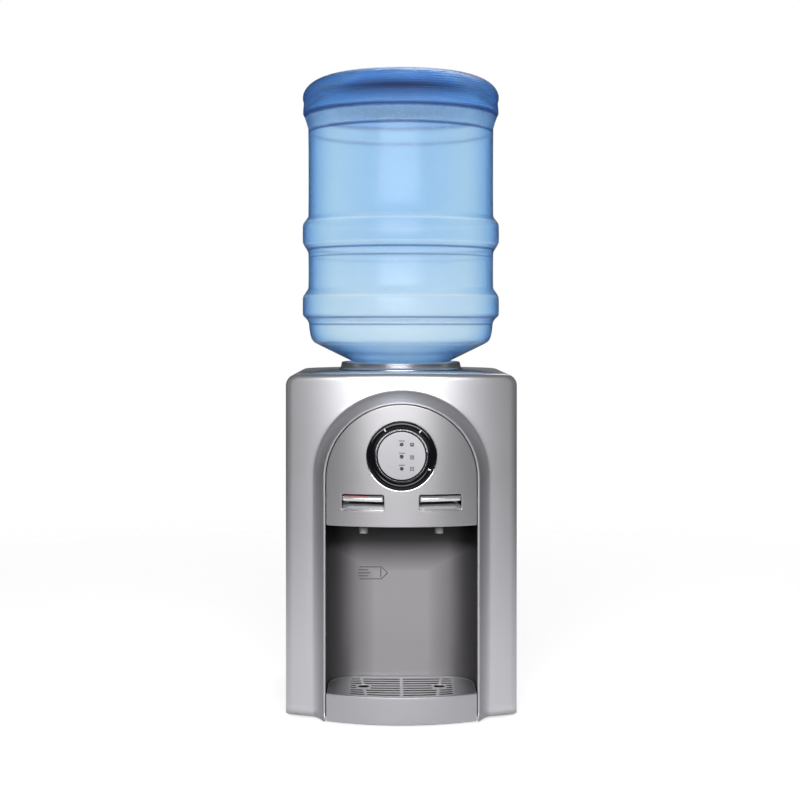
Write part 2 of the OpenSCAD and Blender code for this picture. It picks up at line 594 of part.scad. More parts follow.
module power_board() color([0.12, 0.3, 0.16]) {
    post_z = floor_z + 1 + base_floor;  // the posts stand on the base pan's floor
    board_z = 24;
    translate([30, 40, board_z]) cube([90, 70, 1.6]);
    for (x = [34, 116], y = [44, 106]) translate([x, y, post_z]) cylinder(r = 3, h = board_z + 0.02 - post_z);
    translate([40, 50, 25.5]) cube([32, 28, 26]);
    translate([80, 48, 25.5]) cylinder(r = 8, h = 22);
    translate([102, 50, 25.5]) cube([4, 34, 26]);
    translate([86, 90, 25.5]) cube([26, 12, 12]);
    translate([44, 90, 25.5]) cylinder(r = 5, h = 16);
    translate([60, 92, 25.5]) cylinder(r = 5, h = 16);
}

// Taps

module tap_body(s) color([0.86, 0.86, 0.85]) translate([s * tap_x, 0, 0]) difference() {
    union() {
        translate([0, tap_y, 252]) cylinder(r = 6.4, h = 13);
        translate([0, tap_y, 239]) cylinder(r = 5.5, h = 14);
        translate([0, tap_y, bay_top + bay_wall]) cylinder(r = 11.5, h = 16.2);
        translate([0, tap_y, inlet_z]) rotate([-90, 0, 0]) cylinder(r = 5, h = 26);
        // ears that carry the lever's pin
        translate([-23, pivot_y - 5, bay_top + bay_wall]) cube([46, 10, 9]);
        for (e = [-1, 1]) translate([e * 20.5 - 2.5, pivot_y - 5, bay_top + bay_wall]) cube([5, 10, 28]);
    }
    translate([0, tap_y, 238]) cylinder(r = 4, h = 30);
    translate([0, tap_y, 266.8]) cylinder(r = 8.6, h = 11.6);
    translate([0, tap_y, 270]) cylinder(r = 2.06, h = 20);
    translate([0, tap_y, inlet_z]) rotate([-90, 0, 0]) cylinder(r = 3, h = 30);
    translate([-30, pivot_y, pivot_z]) rotate([0, 90, 0]) cylinder(r = pin_r + 0.01, h = 60);
}
module hot_tap_body() tap_body(-1);
module cold_tap_body() tap_body(1);

// Stem with its rubber cup, which lifts off the seat when the lever is pressed
module tap_valve(s) color([0.9, 0.45, 0.3]) translate([s * tap_x, tap_y, 0]) {
    translate([0, 0, 266.9]) cylinder(r1 = 5, r2 = 6.5, h = 3);
    translate([0, 0, 269.8]) cylinder(r = 2, h = 21.2);
    translate([0, 0, 290.6]) cylinder(r = 3.8, h = 1.6);
}
module hot_tap_valve() tap_valve(-1);
module cold_tap_valve() tap_valve(1);

// Coil spring over the stem
function coil_ring(a, r, z, w) = [for (j = [0:5]) let (b = 60 * j)
    [(r + w * cos(b)) * cos(a), (r + w * cos(b)) * sin(a), z + w * sin(b)]];
module tap_spring(s) color([0.75, 0.75, 0.78]) translate([s * tap_x, tap_y, 270.5]) {
    turns = 3.5;
    steps = 14;
    rings = [for (i = [0:turns * steps]) coil_ring(360 * i / steps, 5, 7.2 * i / (turns * steps), 0.45)];
    polyhedron([for (r = rings, p = r) p], ring_faces(len(rings), 6));
}
module hot_tap_spring() tap_spring(-1);
module cold_tap_spring() tap_spring(1);

// Push lever: a rounded bar that follows the face's bow, an arm back to the pin, and a fork under
// the stem's head
sweep = 23;                             // degrees that a lever's or scoop's revolve covers
function sweep_start(s) = s < 0 ? 270 - sweep : 270;
module lever(s) color([0.85, 0.85, 0.86]) {
    w = slot_w - 2.4;
    rb = face_r + 1.5;
    intersection() {
        union() {
            translate([0, face_cy, 0]) rotate([0, 0, sweep_start(s)]) rotate_extrude(angle = sweep, $fn = 256) {
                polygon(concat([[rb - 6.5, 286.2], [rb - 3.4, 286]], arc(rb - 3.4, 289.4, 3.4, -80, 80, 8),
                    [[rb - 3.4, 293], [rb - 6.5, 293.2]]));
                polygon([[rb - 40, 290.6], [rb - 6, 290.6], [rb - 6, 293.2], [rb - 40, 293.2]]);
            }
        }
        translate([s * tap_x - w / 2, -200, 250]) cube([w, 200 + pivot_y - 7, 60]);
    }
    difference() {
        union() {
            translate([s * tap_x - 17.6, pivot_y - 8, 290.6]) cube([35.2, 8, 2.6]);
            translate([s * tap_x - 17.6, pivot_y, pivot_z]) rotate([0, 90, 0]) cylinder(r = 4, h = 35.2);
            for (e = [-1, 1]) translate([s * tap_x + e * 4.2 - 1.4, pivot_y, 286.6]) cube([2.8, 18, 2.6]);
        }
        translate([s * tap_x - 30, pivot_y, pivot_z]) rotate([0, 90, 0]) cylinder(r = pin_r + 0.06, h = 60);
        translate([s * tap_x - 2.8, pivot_y + 1, 280]) cube([5.6, 20, 8.8]);
    }
}
module hot_lever() difference() {
    lever(-1);
    marker_block(0.02);
}
module cold_lever() lever(1);
// Red strip let into the top of the hot lever's bar
module marker_block(g) intersection() {
    translate([0, face_cy, 292.2 - g]) tube(face_r - 0.2 + g, face_r - 3.2 - g, 4, $fn = 256);
    translate([-tap_x - 25 - g, -200, 290]) cube([31 + 2 * g, 100, 3.5 + g]);
}
module hot_lever_marker() color([0.75, 0.1, 0.08]) marker_block(0);
module lever_pins() color([0.7, 0.7, 0.72])
    for (s = [-1, 1])
        translate([s * tap_x - 23, pivot_y, pivot_z]) rotate([0, 90, 0]) cylinder(r = pin_r, h = 46);

// Curved apron under each lever, which rises to the face at its lower edge
module scoop(s) color([0.8, 0.8, 0.82]) {
    w = slot_w + 3;
    r = face_r - face_t - 0.15;
    curl = 10.8;                        // radius of the apron's curl
    curl_z = 270.6;
    intersection() {
        translate([0, face_cy, 0]) rotate([0, 0, sweep_start(s)]) rotate_extrude(angle = sweep, $fn = 256)
            polygon(concat(arc(r - curl, curl_z, curl, 0, 88, 10),
                arc(r - curl, curl_z, curl - 1.5, 88, 0, 10)));
        translate([s * tap_x - w / 2, -200, 250]) cube([w, 100, 60]);
    }
}
module lever_scoops() for (s = [-1, 1]) scoop(s);

// Drip tray

module drip_tray() color([0.68, 0.68, 0.7]) {
    difference() {
        union() {
            translate([0, 0, tray_floor]) linear_extrude(tray_top - tray_floor) polygon(tray_outline(0));
            // deeper front, down to the panel's lower edge
            intersection() {
                translate([0, 0, floor_z + 0.4])
                    linear_extrude(tray_top - floor_z - 0.4) polygon(tray_outline(0));
                translate([0, face_cy, 0]) tube(face_r + 5, face_r - 3, 60, $fn = 256);
            }
        }
        translate([0, 0, tray_floor + 2]) linear_extrude(tray_top) polygon(tray_outline(4));
        translate([0, 0, tray_top - 3.2]) linear_extrude(10) polygon(tray_outline(2));
    }
}

slot_x = 66;                            // half length of the slotted field
slots = 8;
slot_gap = 6.4;
outlet_r = 7.2;                         // drain hole under each tap
module drip_grille() color([0.62, 0.62, 0.64]) {
    z0 = tray_top - 3.1;
    h = 2.6;
    difference() {
        translate([0, 0, z0]) linear_extrude(h) polygon(tray_outline(2.4));
        difference() {
            // bowed slots, flatter towards the rear
            for (i = [0:slots - 1]) let (r = 230 + 95 * i, yf = -153 + 12 * i)
                translate([0, yf + r, z0 - 1]) intersection() {
                    tube(r, r - slot_gap, 10, $fn = 180);
                    translate([-slot_x, -r - 5, -1]) cube([2 * slot_x, 60, 20]);
                }
            // ribs across the slots, and rims round the outlet holes
            translate([-1.6, -170, z0 - 2]) cube([3.2, 130, 12]);
            for (s = [-1, 1]) translate([s * tap_x, tap_y, z0 - 2]) {
                rotate([0, 0, s * 5]) translate([-1.5, -60, 0]) cube([3, 110, 12]);
                cylinder(r = outlet_r + 2.4, h = 12);
            }
        }
        for (s = [-1, 1]) translate([s * tap_x, tap_y, z0 - 1]) cylinder(r = outlet_r, h = 10);
    }
}

// Rear fittings

switch_z = 388.7;
switch_x = [78, 106];
rocker_y = rear_y - 2;                  // pivot of the rockers
rocker_tilt = 8;
module rocker(x) translate([x, rocker_y, switch_z]) rotate([rocker_tilt, 0, 0]) {
    lift = 7.4 * tan(rocker_tilt);
    translate([-4.6, 0, 0]) rotate([90, 0, 90]) linear_extrude(9.2)
        polygon([[-3, -7.4], [2.8 + lift, -7.4], [2.8, 0], [2.8 + lift, 7.4], [-3, 7.4]]);
    translate([-5.8, 0, 0]) rotate([0, 90, 0]) cylinder(r = 1.5, h = 11.6);
}
module heating_switch() color([0.75, 0.1, 0.08]) rocker(switch_x[0]);
module cooling_switch() color([0.1, 0.5, 0.2]) rocker(switch_x[1]);
module switch_housings() color([0.1, 0.1, 0.1])
    for (x = switch_x) translate([x, rocker_y, switch_z]) difference() {
        union() {
            translate([-6.6, -12, -10.6]) cube([13.2, 14.1, 21.2]);
            translate([-7.8, 2.02, -11.8]) cube([15.6, 1.4, 23.6]);
        }
        translate([-4.9, -6, -9]) cube([9.8, 12, 18]);
        translate([-6, 0, 0]) rotate([0, 90, 0]) cylinder(r = 1.55, h = 12);
    }

// Moulded bushing where a mains lead would pass through the rear panel
module cord_gland() color([0.1, 0.1, 0.1]) translate([gland_x, 0, gland_z]) rotate([-90, 0, 0]) {
    translate([0, 0, rear_y + 0.02]) tube(10.5, 3.8, 3);
    translate([0, 0, rear_y + 3]) tube(6.5, 3.8, 4.5);
    translate([0, 0, rear_y - 6]) tube(7.9, 3.8, 6.1);
}
module drain_plug() color([0.15, 0.15, 0.16]) translate([hot_x, 0, drain_z]) rotate([-90, 0, 0]) {
    translate([0, 0, rear_y + 0.5]) cylinder(r = 13, h = 2.5);
    translate([0, 0, rear_y + 2.9]) cylinder(r1 = 9, r2 = 8, h = 5.1);
    translate([0, 0, 149]) cylinder(r1 = 4, r2 = 4.97, h = 2);
    translate([0, 0, 150.9]) cylinder(r = 4.97, h = rear_y + 0.6 - 150.9);
}

front_panel();
arch_surround();
control_panel();
badge_bezel();
badge_ring();
badge_disc();
badge_icons();
badge_lamps();
indicator_board();
bay_liner();
base_pan();
rubber_feet();
side_panel_left();
side_panel_right();
rear_panel();
top_cover();
panel_screws();
bottle_seat();
seat_gasket();
probe_tube();
cold_tank();
tank_baffle();
foam_shell();
cold_block();
peltier_module();
heat_sink();
fan_frame();
fan_rotor();
hot_tank();
hot_tank_jacket();
heater_band();
hot_tank_thermostats();
water_pipes();
power_board();
hot_tap_body();
cold_tap_body();
hot_tap_valve();
cold_tap_valve();
hot_tap_spring();
cold_tap_spring();
hot_lever();
cold_lever();
hot_lever_marker();
lever_pins();
lever_scoops();
drip_tray();
drip_grille();
switch_housings();
heating_switch();
cooling_switch();
cord_gland();
drain_plug();
bottle_neck();
bottle_cone();
bottle_shoulder();
bottle_wall_lower();
bottle_wall_upper();
bottle_base();
bottle_cap();
cap_plug();
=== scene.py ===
import bmesh
import bpy
import math
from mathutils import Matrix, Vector


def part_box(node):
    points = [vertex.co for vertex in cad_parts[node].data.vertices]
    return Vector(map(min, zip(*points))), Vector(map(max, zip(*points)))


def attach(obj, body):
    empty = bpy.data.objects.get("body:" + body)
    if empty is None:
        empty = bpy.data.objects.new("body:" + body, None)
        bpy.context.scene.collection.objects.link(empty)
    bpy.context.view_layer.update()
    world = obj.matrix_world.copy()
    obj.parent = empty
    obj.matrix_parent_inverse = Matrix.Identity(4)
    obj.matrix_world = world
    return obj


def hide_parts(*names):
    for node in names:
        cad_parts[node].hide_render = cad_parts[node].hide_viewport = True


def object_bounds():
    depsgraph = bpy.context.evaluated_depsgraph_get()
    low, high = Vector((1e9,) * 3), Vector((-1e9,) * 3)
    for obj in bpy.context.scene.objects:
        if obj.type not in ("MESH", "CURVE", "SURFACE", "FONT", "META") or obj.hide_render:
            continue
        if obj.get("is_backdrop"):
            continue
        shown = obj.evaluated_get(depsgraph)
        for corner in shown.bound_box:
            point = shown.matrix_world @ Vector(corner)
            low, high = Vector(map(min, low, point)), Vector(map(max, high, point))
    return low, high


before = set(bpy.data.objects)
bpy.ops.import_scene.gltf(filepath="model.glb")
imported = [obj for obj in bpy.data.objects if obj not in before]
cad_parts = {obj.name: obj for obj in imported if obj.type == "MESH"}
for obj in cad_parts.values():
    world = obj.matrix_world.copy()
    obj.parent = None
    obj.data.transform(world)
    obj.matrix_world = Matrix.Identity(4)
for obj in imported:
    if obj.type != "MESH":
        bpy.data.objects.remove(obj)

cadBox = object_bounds()


# camera, floor and light: distances in metres, power in watts
cameraSet = {"distance": 2.006, "height": 0.512, "side": -0.012, "lens": 66.2, "down": 0.28,
             "shift": (0.0099, -0.0886)}
lightSet = {
    "key": {"at": (-0.10, -2.25, 0.88), "aim": (0, 0, 0.36), "size": (2.0, 0.56), "power": 39},
    "high": {"at": (-0.20, -1.9, 1.9), "aim": (0, 0, 0.45), "size": (1.2, 0.5), "power": 5},
    "leftEdge": {"at": (-1.9, 0.25, 0.9), "aim": (0, 0, 0.4), "size": (0.4, 1.2), "power": 0.4},
    "rightEdge": {"at": (1.9, 0.25, 0.9), "aim": (0, 0, 0.4), "size": (0.4, 1.2), "power": 0.4},
    "back": {"at": (0.4, 2.3, 2.4), "aim": (0, 0, 0.4), "size": (1.6, 1.0), "power": 16},
}
surroundings = {"seen": (1.0, 1.0, 1.0), "ambient": (0.05, 0.05, 0.053), "floorFade": (0.75, 1.9),
                "floorSeen": (0.70, 0.70, 0.70), "floorGlow": (0.30, 0.30, 0.30)}


def aimed(obj, at, target):
    obj.location = at
    obj.rotation_mode = "QUATERNION"
    obj.rotation_quaternion = (Vector(target) - Vector(at)).to_track_quat("-Z", "Y")
    return obj


def addCamera():
    data = bpy.data.cameras.new("camera")
    data.lens = cameraSet["lens"]
    data.sensor_width = 36
    cam = bpy.data.objects.new("camera", data)
    bpy.context.scene.collection.objects.link(cam)
    at = Vector((cameraSet["side"], -cameraSet["distance"], cameraSet["height"]))
    drop = math.tan(math.radians(cameraSet["down"]))
    aimed(cam, at, at + Vector((0, 1, -drop)))
    data.shift_x, data.shift_y = cameraSet["shift"]
    bpy.context.scene.camera = cam


def addLights():
    for name, s in lightSet.items():
        data = bpy.data.lights.new(name, "AREA")
        data.shape = "RECTANGLE"
        data.size, data.size_y = s["size"]
        data.energy = s["power"]
        lamp = bpy.data.objects.new(name, data)
        bpy.context.scene.collection.objects.link(lamp)
        aimed(lamp, s["at"], s["aim"])


addCamera()
addLights()
print("camera and lights placed")


class Link:  # one output socket, so that shader maths is written as plain expressions
    def __init__(self, finish, socket):
        self.finish = finish
        self.socket = socket

    def maths(self, operation, *values, clamp=False):
        settings = {"operation": operation, "use_clamp": clamp}
        return self.finish.node("ShaderNodeMath", settings, dict(enumerate(values)))

    def __add__(self, other):
        return self.maths("ADD", self, other)

    __radd__ = __add__

    def __sub__(self, other):
        return self.maths("SUBTRACT", self, other)

    def __rsub__(self, other):
        return self.maths("SUBTRACT", other, self)

    def __mul__(self, other):
        return self.maths("MULTIPLY", self, other)

    __rmul__ = __mul__

    def __truediv__(self, other):
        return self.maths("DIVIDE", self, other)

    def __pow__(self, other):
        return self.maths("POWER", self, other)

    def clamped(self):
        return self.maths("ADD", self, 0.0, clamp=True)

    def sine(self):
        return self.maths("SINE", self)

    def absolute(self):
        return self.maths("ABSOLUTE", self)

    def atLeast(self, other):
        return self.maths("MAXIMUM", self, other)


class Finish:  # a material, its Principled shader and the nodes that feed it
    def __init__(self, name, colour=(0.8, 0.8, 0.8), rough=0.5, metal=0.0, tree=None, **fixed):
        if tree is None:
            self.material = bpy.data.materials.new(name)
            self.material.use_nodes = True
            tree = self.material.node_tree
            self.shader = tree.nodes["Principled BSDF"]
        self.tree = tree
        if name is not None:
            self.put("Base Color", colour)
            self.put("Roughness", rough)
            self.put("Metallic", metal)
            for key, value in fixed.items():
                self.put(key.replace("_", " "), value)

    def feed(self, socket, value):
        if isinstance(value, Link):
            self.tree.links.new(value.socket, socket)
        elif socket.type == "RGBA" and len(value) == 3:
            socket.default_value = (*value, 1)
        else:
            socket.default_value = value

    def put(self, name, value):
        self.feed(self.shader.inputs[name], value)

    def node(self, kind, settings=None, values=None, output=0):
        made = self.tree.nodes.new(kind)
        for key, value in (settings or {}).items():
            if key == "stops":
                ramp = made.color_ramp.elements
                while len(ramp) < len(value):
                    ramp.new(0.5)
                for element, (place, colour) in zip(ramp, value):
                    element.position = place
                    element.color = (*colour, 1) if len(colour) == 3 else colour
            else:
                setattr(made, key, value)
        for key, value in (values or {}).items():
            self.feed(made.inputs[key], value)
        return Link(self, made.outputs[output])

    def spot(self):  # the place on the surface, in metres
        return self.node("ShaderNodeTexCoord", output="Object")

    def axes(self):
        vector = self.spot()
        return [self.node("ShaderNodeSeparateXYZ", {}, {0: vector}, output=i) for i in range(3)]

    def noise(self, scale, detail=2.0, rough=0.5, stretch=None):
        vector = self.spot()
        if stretch:
            vector = self.node("ShaderNodeVectorMath", {"operation": "MULTIPLY"}, {0: vector, 1: stretch})
        values = {"Vector": vector, "Scale": scale, "Detail": detail, "Roughness": rough}
        return self.node("ShaderNodeTexNoise", {}, values)

    def cells(self, scale, kind="F1"):
        values = {"Vector": self.spot(), "Scale": scale}
        return self.node("ShaderNodeTexVoronoi", {"feature": kind}, values, output="Distance")

    def ramp(self, value, *stops):
        return self.node("ShaderNodeValToRGB", {"stops": stops}, {"Fac": value})

    def mixed(self, amount, first, second):
        settings = {"data_type": "RGBA"}
        return self.node("ShaderNodeMix", settings, {0: amount, 6: first, 7: second}, output=2)

    def facing(self, blend=0.5):
        return self.node("ShaderNodeLayerWeight", {}, {"Blend": blend}, output="Facing")

    def bump(self, height, strength=0.2, depth=0.0005):
        values = {"Height": height, "Strength": strength, "Distance": depth}
        self.put("Normal", self.node("ShaderNodeBump", {}, values, output="Normal"))


def addWorld():
    world = bpy.data.worlds.new("studio")
    world.use_nodes = True
    bpy.context.scene.world = world
    sky = Finish(None, tree=world.node_tree)
    plain = world.node_tree.nodes["Background"].inputs["Color"]
    camera = sky.node("ShaderNodeLightPath", output="Is Camera Ray")
    through = sky.node("ShaderNodeLightPath", output="Is Transmission Ray")
    seen = camera.atLeast(through)
    sky.feed(plain, sky.mixed(seen, surroundings["ambient"], surroundings["seen"]))
    bpy.context.scene.view_settings.view_transform = "Standard"


def addFloor():
    size = 6.0
    mesh = bpy.data.meshes.new("floor")
    corners = [(-size, -size, 0), (size, -size, 0), (size, size, 0), (-size, size, 0)]
    mesh.from_pydata(corners, [], [(0, 1, 2, 3)])
    floor = bpy.data.objects.new("floor", mesh)
    bpy.context.scene.collection.objects.link(floor)
    paper = Finish("paleFloor", (0.93, 0.93, 0.93), 0.9)
    near, far = surroundings["floorFade"]
    x, y, _ = paper.axes()
    away = (x * x + y * y) ** 0.5
    shown = 1 - ((away - near) / (far - near)).clamped()
    grain = paper.noise(60)
    paper.put("Base Color", paper.mixed(grain, (0.95, 0.95, 0.95), (0.92, 0.92, 0.92)))
    paper.put("Alpha", shown)
    mesh.materials.append(paper.material)
    floor.visible_diffuse = False
    camera = paper.node("ShaderNodeLightPath", output="Is Camera Ray")
    glow = paper.mixed(camera, surroundings["floorGlow"], surroundings["floorSeen"])
    paper.put("Emission Color", glow)
    paper.put("Emission Strength", 1.0)
    floor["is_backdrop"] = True


addWorld()
addFloor()
print("studio made")


def silverPaint(name, colour, rough=0.34, metal=0.75, flake=0.05):
    paint = Finish(name, colour, rough, metal, Coat_Weight=0.25, Coat_Roughness=0.18)
    sparkle = paint.noise(5200, 1.0)  # metal flakes in the lacquer
    cloud = paint.noise(9, 2.0)
    shade = sparkle * flake * 2 + cloud * 0.05
    dark = tuple(c * (1 - flake) for c in colour)
    light = tuple(min(c * (1 + flake), 1) for c in colour)
    paint.put("Base Color", paint.mixed(shade.clamped() * 4, dark, light))
    paint.put("Roughness", rough - 0.04 + 0.08 * cloud + 0.05 * sparkle)
    paint.bump(paint.noise(900, 3.0) * 0.6 + sparkle * 0.4, 0.10, 0.00008)
    return paint


def grainedPlastic(name, colour, rough=0.5, grain=1400, depth=0.00008, metal=0.0):
    plastic = Finish(name, colour, rough, metal)
    cloud = plastic.noise(22, 3.0)
    fine = plastic.noise(grain, 2.0)
    dark = tuple(c * 0.94 for c in colour)
    light = tuple(min(c * 1.05, 1) for c in colour)
    plastic.put("Base Color", plastic.mixed(cloud, dark, light))
    plastic.put("Roughness", rough - 0.05 + 0.1 * fine + 0.04 * cloud)
    plastic.bump(fine, 0.25, depth)
    return plastic


def glossPlastic(name, colour, rough=0.12, coat=0.4, shine=0.5):
    plastic = Finish(name, colour, rough, Coat_Weight=coat, Coat_Roughness=0.05, Specular_IOR_Level=shine)
    cloud = plastic.noise(35, 3.0)
    smear = plastic.noise(160, 4.0, 0.6)
    plastic.put("Base Color", plastic.mixed(cloud, tuple(c * 0.93 for c in colour), colour))
    plastic.put("Roughness", rough + 0.07 * smear)
    plastic.bump(plastic.noise(120, 2.0), 0.05, 0.00006)
    return plastic


def barMetal(name, colour, rough=0.28, stretch=(1, 1, 40), grain=260):
    metal = Finish(name, colour, rough, 1.0)
    line = metal.noise(grain, 3.0, 0.6, stretch=stretch)  # drawn or brushed lines
    cloud = metal.noise(30, 2.0)
    metal.put("Base Color", metal.mixed(line, tuple(c * 0.88 for c in colour), colour))
    metal.put("Roughness", rough - 0.05 + 0.14 * line + 0.05 * cloud)
    metal.bump(line, 0.15, 0.00006)
    return metal


def rubber(name, colour, rough=0.7):
    soft = Finish(name, colour, rough)
    fine = soft.noise(700, 3.0)
    soft.put("Base Color", soft.mixed(fine, tuple(c * 0.8 for c in colour), tuple(c * 1.2 for c in colour)))
    soft.put("Roughness", rough - 0.08 + 0.16 * fine)
    soft.bump(fine, 0.3, 0.0001)
    return soft


finishes = {
    "cover": silverPaint("silverCover", (0.30, 0.30, 0.31), 0.42, 0.6),
    "face": silverPaint("satinGreyFace", (0.52, 0.51, 0.53), 0.34, 0.75, 0.04),
    "lever": silverPaint("leverSilver", (0.93, 0.93, 0.95), 0.24, 0.75, 0.03),
    "tray": silverPaint("traySilver", (0.55, 0.55, 0.58), 0.36, 0.6, 0.05),
    "seat": silverPaint("seatSilver", (0.60, 0.60, 0.62), 0.22, 0.85, 0.03),
    "pearl": silverPaint("pearlDisc", (0.52, 0.52, 0.55), 0.34, 0.45, 0.03),
    "steelPaint": grainedPlastic("powderCoat", (0.46, 0.46, 0.49), 0.38, 700, 0.00012, 0.3),
    "rearPaint": grainedPlastic("rearCoat", (0.24, 0.24, 0.26), 0.45, 700, 0.00012, 0.2),
    "dark": grainedPlastic("darkMoulding", (0.05, 0.05, 0.053), 0.5),
    "black": grainedPlastic("blackMoulding", (0.022, 0.022, 0.024), 0.42),
    "white": grainedPlastic("whiteMoulding", (0.78, 0.78, 0.76), 0.4),
    "glossBlack": glossPlastic("glossBlack", (0.006, 0.006, 0.008), 0.07, 0.1, 0.22),
    "rockerRed": glossPlastic("rockerRed", (0.50, 0.02, 0.015), 0.2),
    "rockerGreen": glossPlastic("rockerGreen", (0.02, 0.26, 0.06), 0.2),
    "marker": glossPlastic("markerRed", (0.62, 0.03, 0.02), 0.25),
    "capBlue": grainedPlastic("capBlue", (0.05, 0.16, 0.60), 0.38),
    "steel": barMetal("plainSteel", (0.62, 0.62, 0.64)),
    "stainless": barMetal("drawnStainless", (0.66, 0.67, 0.69), 0.24, (1, 1, 14)),
    "aluminium": barMetal("extrudedAluminium", (0.76, 0.76, 0.78), 0.36, (1, 1, 0.05)),
    "brass": barMetal("heaterBrass", (0.55, 0.38, 0.20), 0.4),
    "chrome": barMetal("brightTrim", (0.82, 0.82, 0.84), 0.1, (1, 1, 1), 120),
    "rubber": rubber("blackRubber", (0.02, 0.02, 0.021)),
    "silicone": rubber("milkySilicone", (0.62, 0.62, 0.60), 0.35),
    "redSilicone": rubber("redSilicone", (0.55, 0.12, 0.07), 0.4),
    "blueSilicone": rubber("blueSilicone", (0.08, 0.17, 0.50), 0.4),
}
print("finishes made:", len(finishes))


def link(name, mesh, finish, angle=35):
    obj = bpy.data.objects.new(name, mesh)
    bpy.context.scene.collection.objects.link(obj)
    mesh.polygons.foreach_set("use_smooth", [True] * len(mesh.polygons))
    mesh.set_sharp_from_angle(angle=math.radians(angle))
    mesh.materials.append(finishes[finish].material if isinstance(finish, str) else finish.material)
    return obj


def meshOf(name, verts, faces, finish, angle=35):
    mesh = bpy.data.meshes.new(name)
    mesh.from_pydata(verts, [], faces)
    shape = bmesh.new()
    shape.from_mesh(mesh)
    bmesh.ops.remove_doubles(shape, verts=shape.verts, dist=1e-7)
    bmesh.ops.recalc_face_normals(shape, faces=shape.faces)
    shape.to_mesh(mesh)
    shape.free()
    return link(name, mesh, finish, angle)


def loft(name, rows, finish, closed=False, caps=False, angle=35):
    # quads between rows of points; closed joins each row's ends, caps fills the first and last row
    count = len(rows[0])
    verts = [p for row in rows for p in row]
    faces = []
    last = count if closed else count - 1
    for i in range(len(rows) - 1):
        for j in range(last):
            k = (j + 1) % count
            faces.append((i * count + j, i * count + k, (i + 1) * count + k, (i + 1) * count + j))
    if caps:
        faces.append(tuple(range(count)))
        faces.append(tuple(range(len(verts) - count, len(verts))))
    return meshOf(name, verts, faces, finish, angle)


def turned(name, profile, centre, finish, steps=96, along="Z", closed=True, angle=35):
    # profile of (radius, height) turned about an axis through centre; closed joins its two ends
    cx, cy, cz = centre
    rows = []
    for i in range(steps):
        a = 2 * math.pi * i / steps
        c, s = math.cos(a), math.sin(a)
        shape = profile(a) if callable(profile) else profile
        if along == "Z":
            rows.append([(cx + r * c, cy + r * s, cz + h) for r, h in shape])
        elif along == "Y":
            rows.append([(cx + r * c, cy + h, cz + r * s) for r, h in shape])
        else:
            rows.append([(cx + h, cy + r * c, cz + r * s) for r, h in shape])
    rows.append(rows[0])
    return loft(name, rows, finish, closed=closed, angle=angle)


def arcPoints(cx, cy, r, a0, a1, n):
    return [(cx + r * math.cos(math.radians(a0 + (a1 - a0) * i / n)),
             cy + r * math.sin(math.radians(a0 + (a1 - a0) * i / n))) for i in range(n + 1)]


def rounded(points, radii, n=6):
    # a closed outline with each corner rounded by its own radius
    if not isinstance(radii, (list, tuple)):
        radii = [radii] * len(points)
    out = []
    for i, corner in enumerate(points):
        p, a, b = Vector(corner), Vector(points[i - 1]), Vector(points[(i + 1) % len(points)])
        if radii[i] <= 0:
            out.append(tuple(p))
            continue
        da, db = (a - p).normalized(), (b - p).normalized()
        half = da.angle(db) / 2
        reach = radii[i] / math.tan(half)
        start, end = p + da * reach, p + db * reach
        for k in range(n + 1):
            t = k / n
            out.append(tuple(start * (1 - t) ** 2 + p * 2 * t * (1 - t) + end * t ** 2))
    return out


def sheetOf(name, loops, thick, edge, finish, place, slices=None, edgeSteps=2, angle=30):
    # a flat sheet with holes and softly rounded edges, cut from 2D loops; place(u, v, w) puts each
    # point where it belongs, and slices are the places along u where the sheet is cut so that it bends
    data = bpy.data.curves.new(name, "CURVE")
    data.dimensions = "2D"
    data.fill_mode = "BOTH"
    data.extrude = thick / 2 - edge
    data.bevel_depth = edge
    data.bevel_resolution = edgeSteps
    data.offset = -edge
    for loop in loops:
        spline = data.splines.new("POLY")
        spline.points.add(len(loop) - 1)
        for point, (u, v) in zip(spline.points, loop):
            point.co = (u, v, 0, 1)
        spline.use_cyclic_u = True
    temp = bpy.data.objects.new(name + "Cut", data)
    bpy.context.scene.collection.objects.link(temp)
    mesh = bpy.data.meshes.new_from_object(temp.evaluated_get(bpy.context.evaluated_depsgraph_get()))
    bpy.data.objects.remove(temp)
    bpy.data.curves.remove(data)
    shape = bmesh.new()
    shape.from_mesh(mesh)
    bmesh.ops.remove_doubles(shape, verts=shape.verts, dist=1e-7)
    for u in slices or []:
        geom = shape.verts[:] + shape.edges[:] + shape.faces[:]
        bmesh.ops.bisect_plane(shape, geom=geom, dist=1e-7, plane_co=(u, 0, 0), plane_no=(1, 0, 0))
    for v in shape.verts:
        v.co = place(v.co.x, v.co.y, v.co.z)
    bmesh.ops.recalc_face_normals(shape, faces=shape.faces)
    shape.to_mesh(mesh)
    shape.free()
    mesh.materials.clear()
    mesh.name = name
    obj = link(name, mesh, finish, angle)
    flat = obj.modifiers.new("evenNormals", "WEIGHTED_NORMAL")
    flat.keep_sharp = True
    return obj


def stands(obj, body, slot, *nodes):
    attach(obj, body)
    if nodes:
        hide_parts(*nodes)
    return obj


def softened(obj, width=0.0006, segments=2, angle=35):
    bevel = obj.modifiers.new("softEdges", "BEVEL")
    bevel.width = width
    bevel.segments = segments
    bevel.limit_method = "ANGLE"
    bevel.angle_limit = math.radians(angle)
    bevel.harden_normals = False
    flat = obj.modifiers.new("evenNormals", "WEIGHTED_NORMAL")
    flat.keep_sharp = True
    return obj


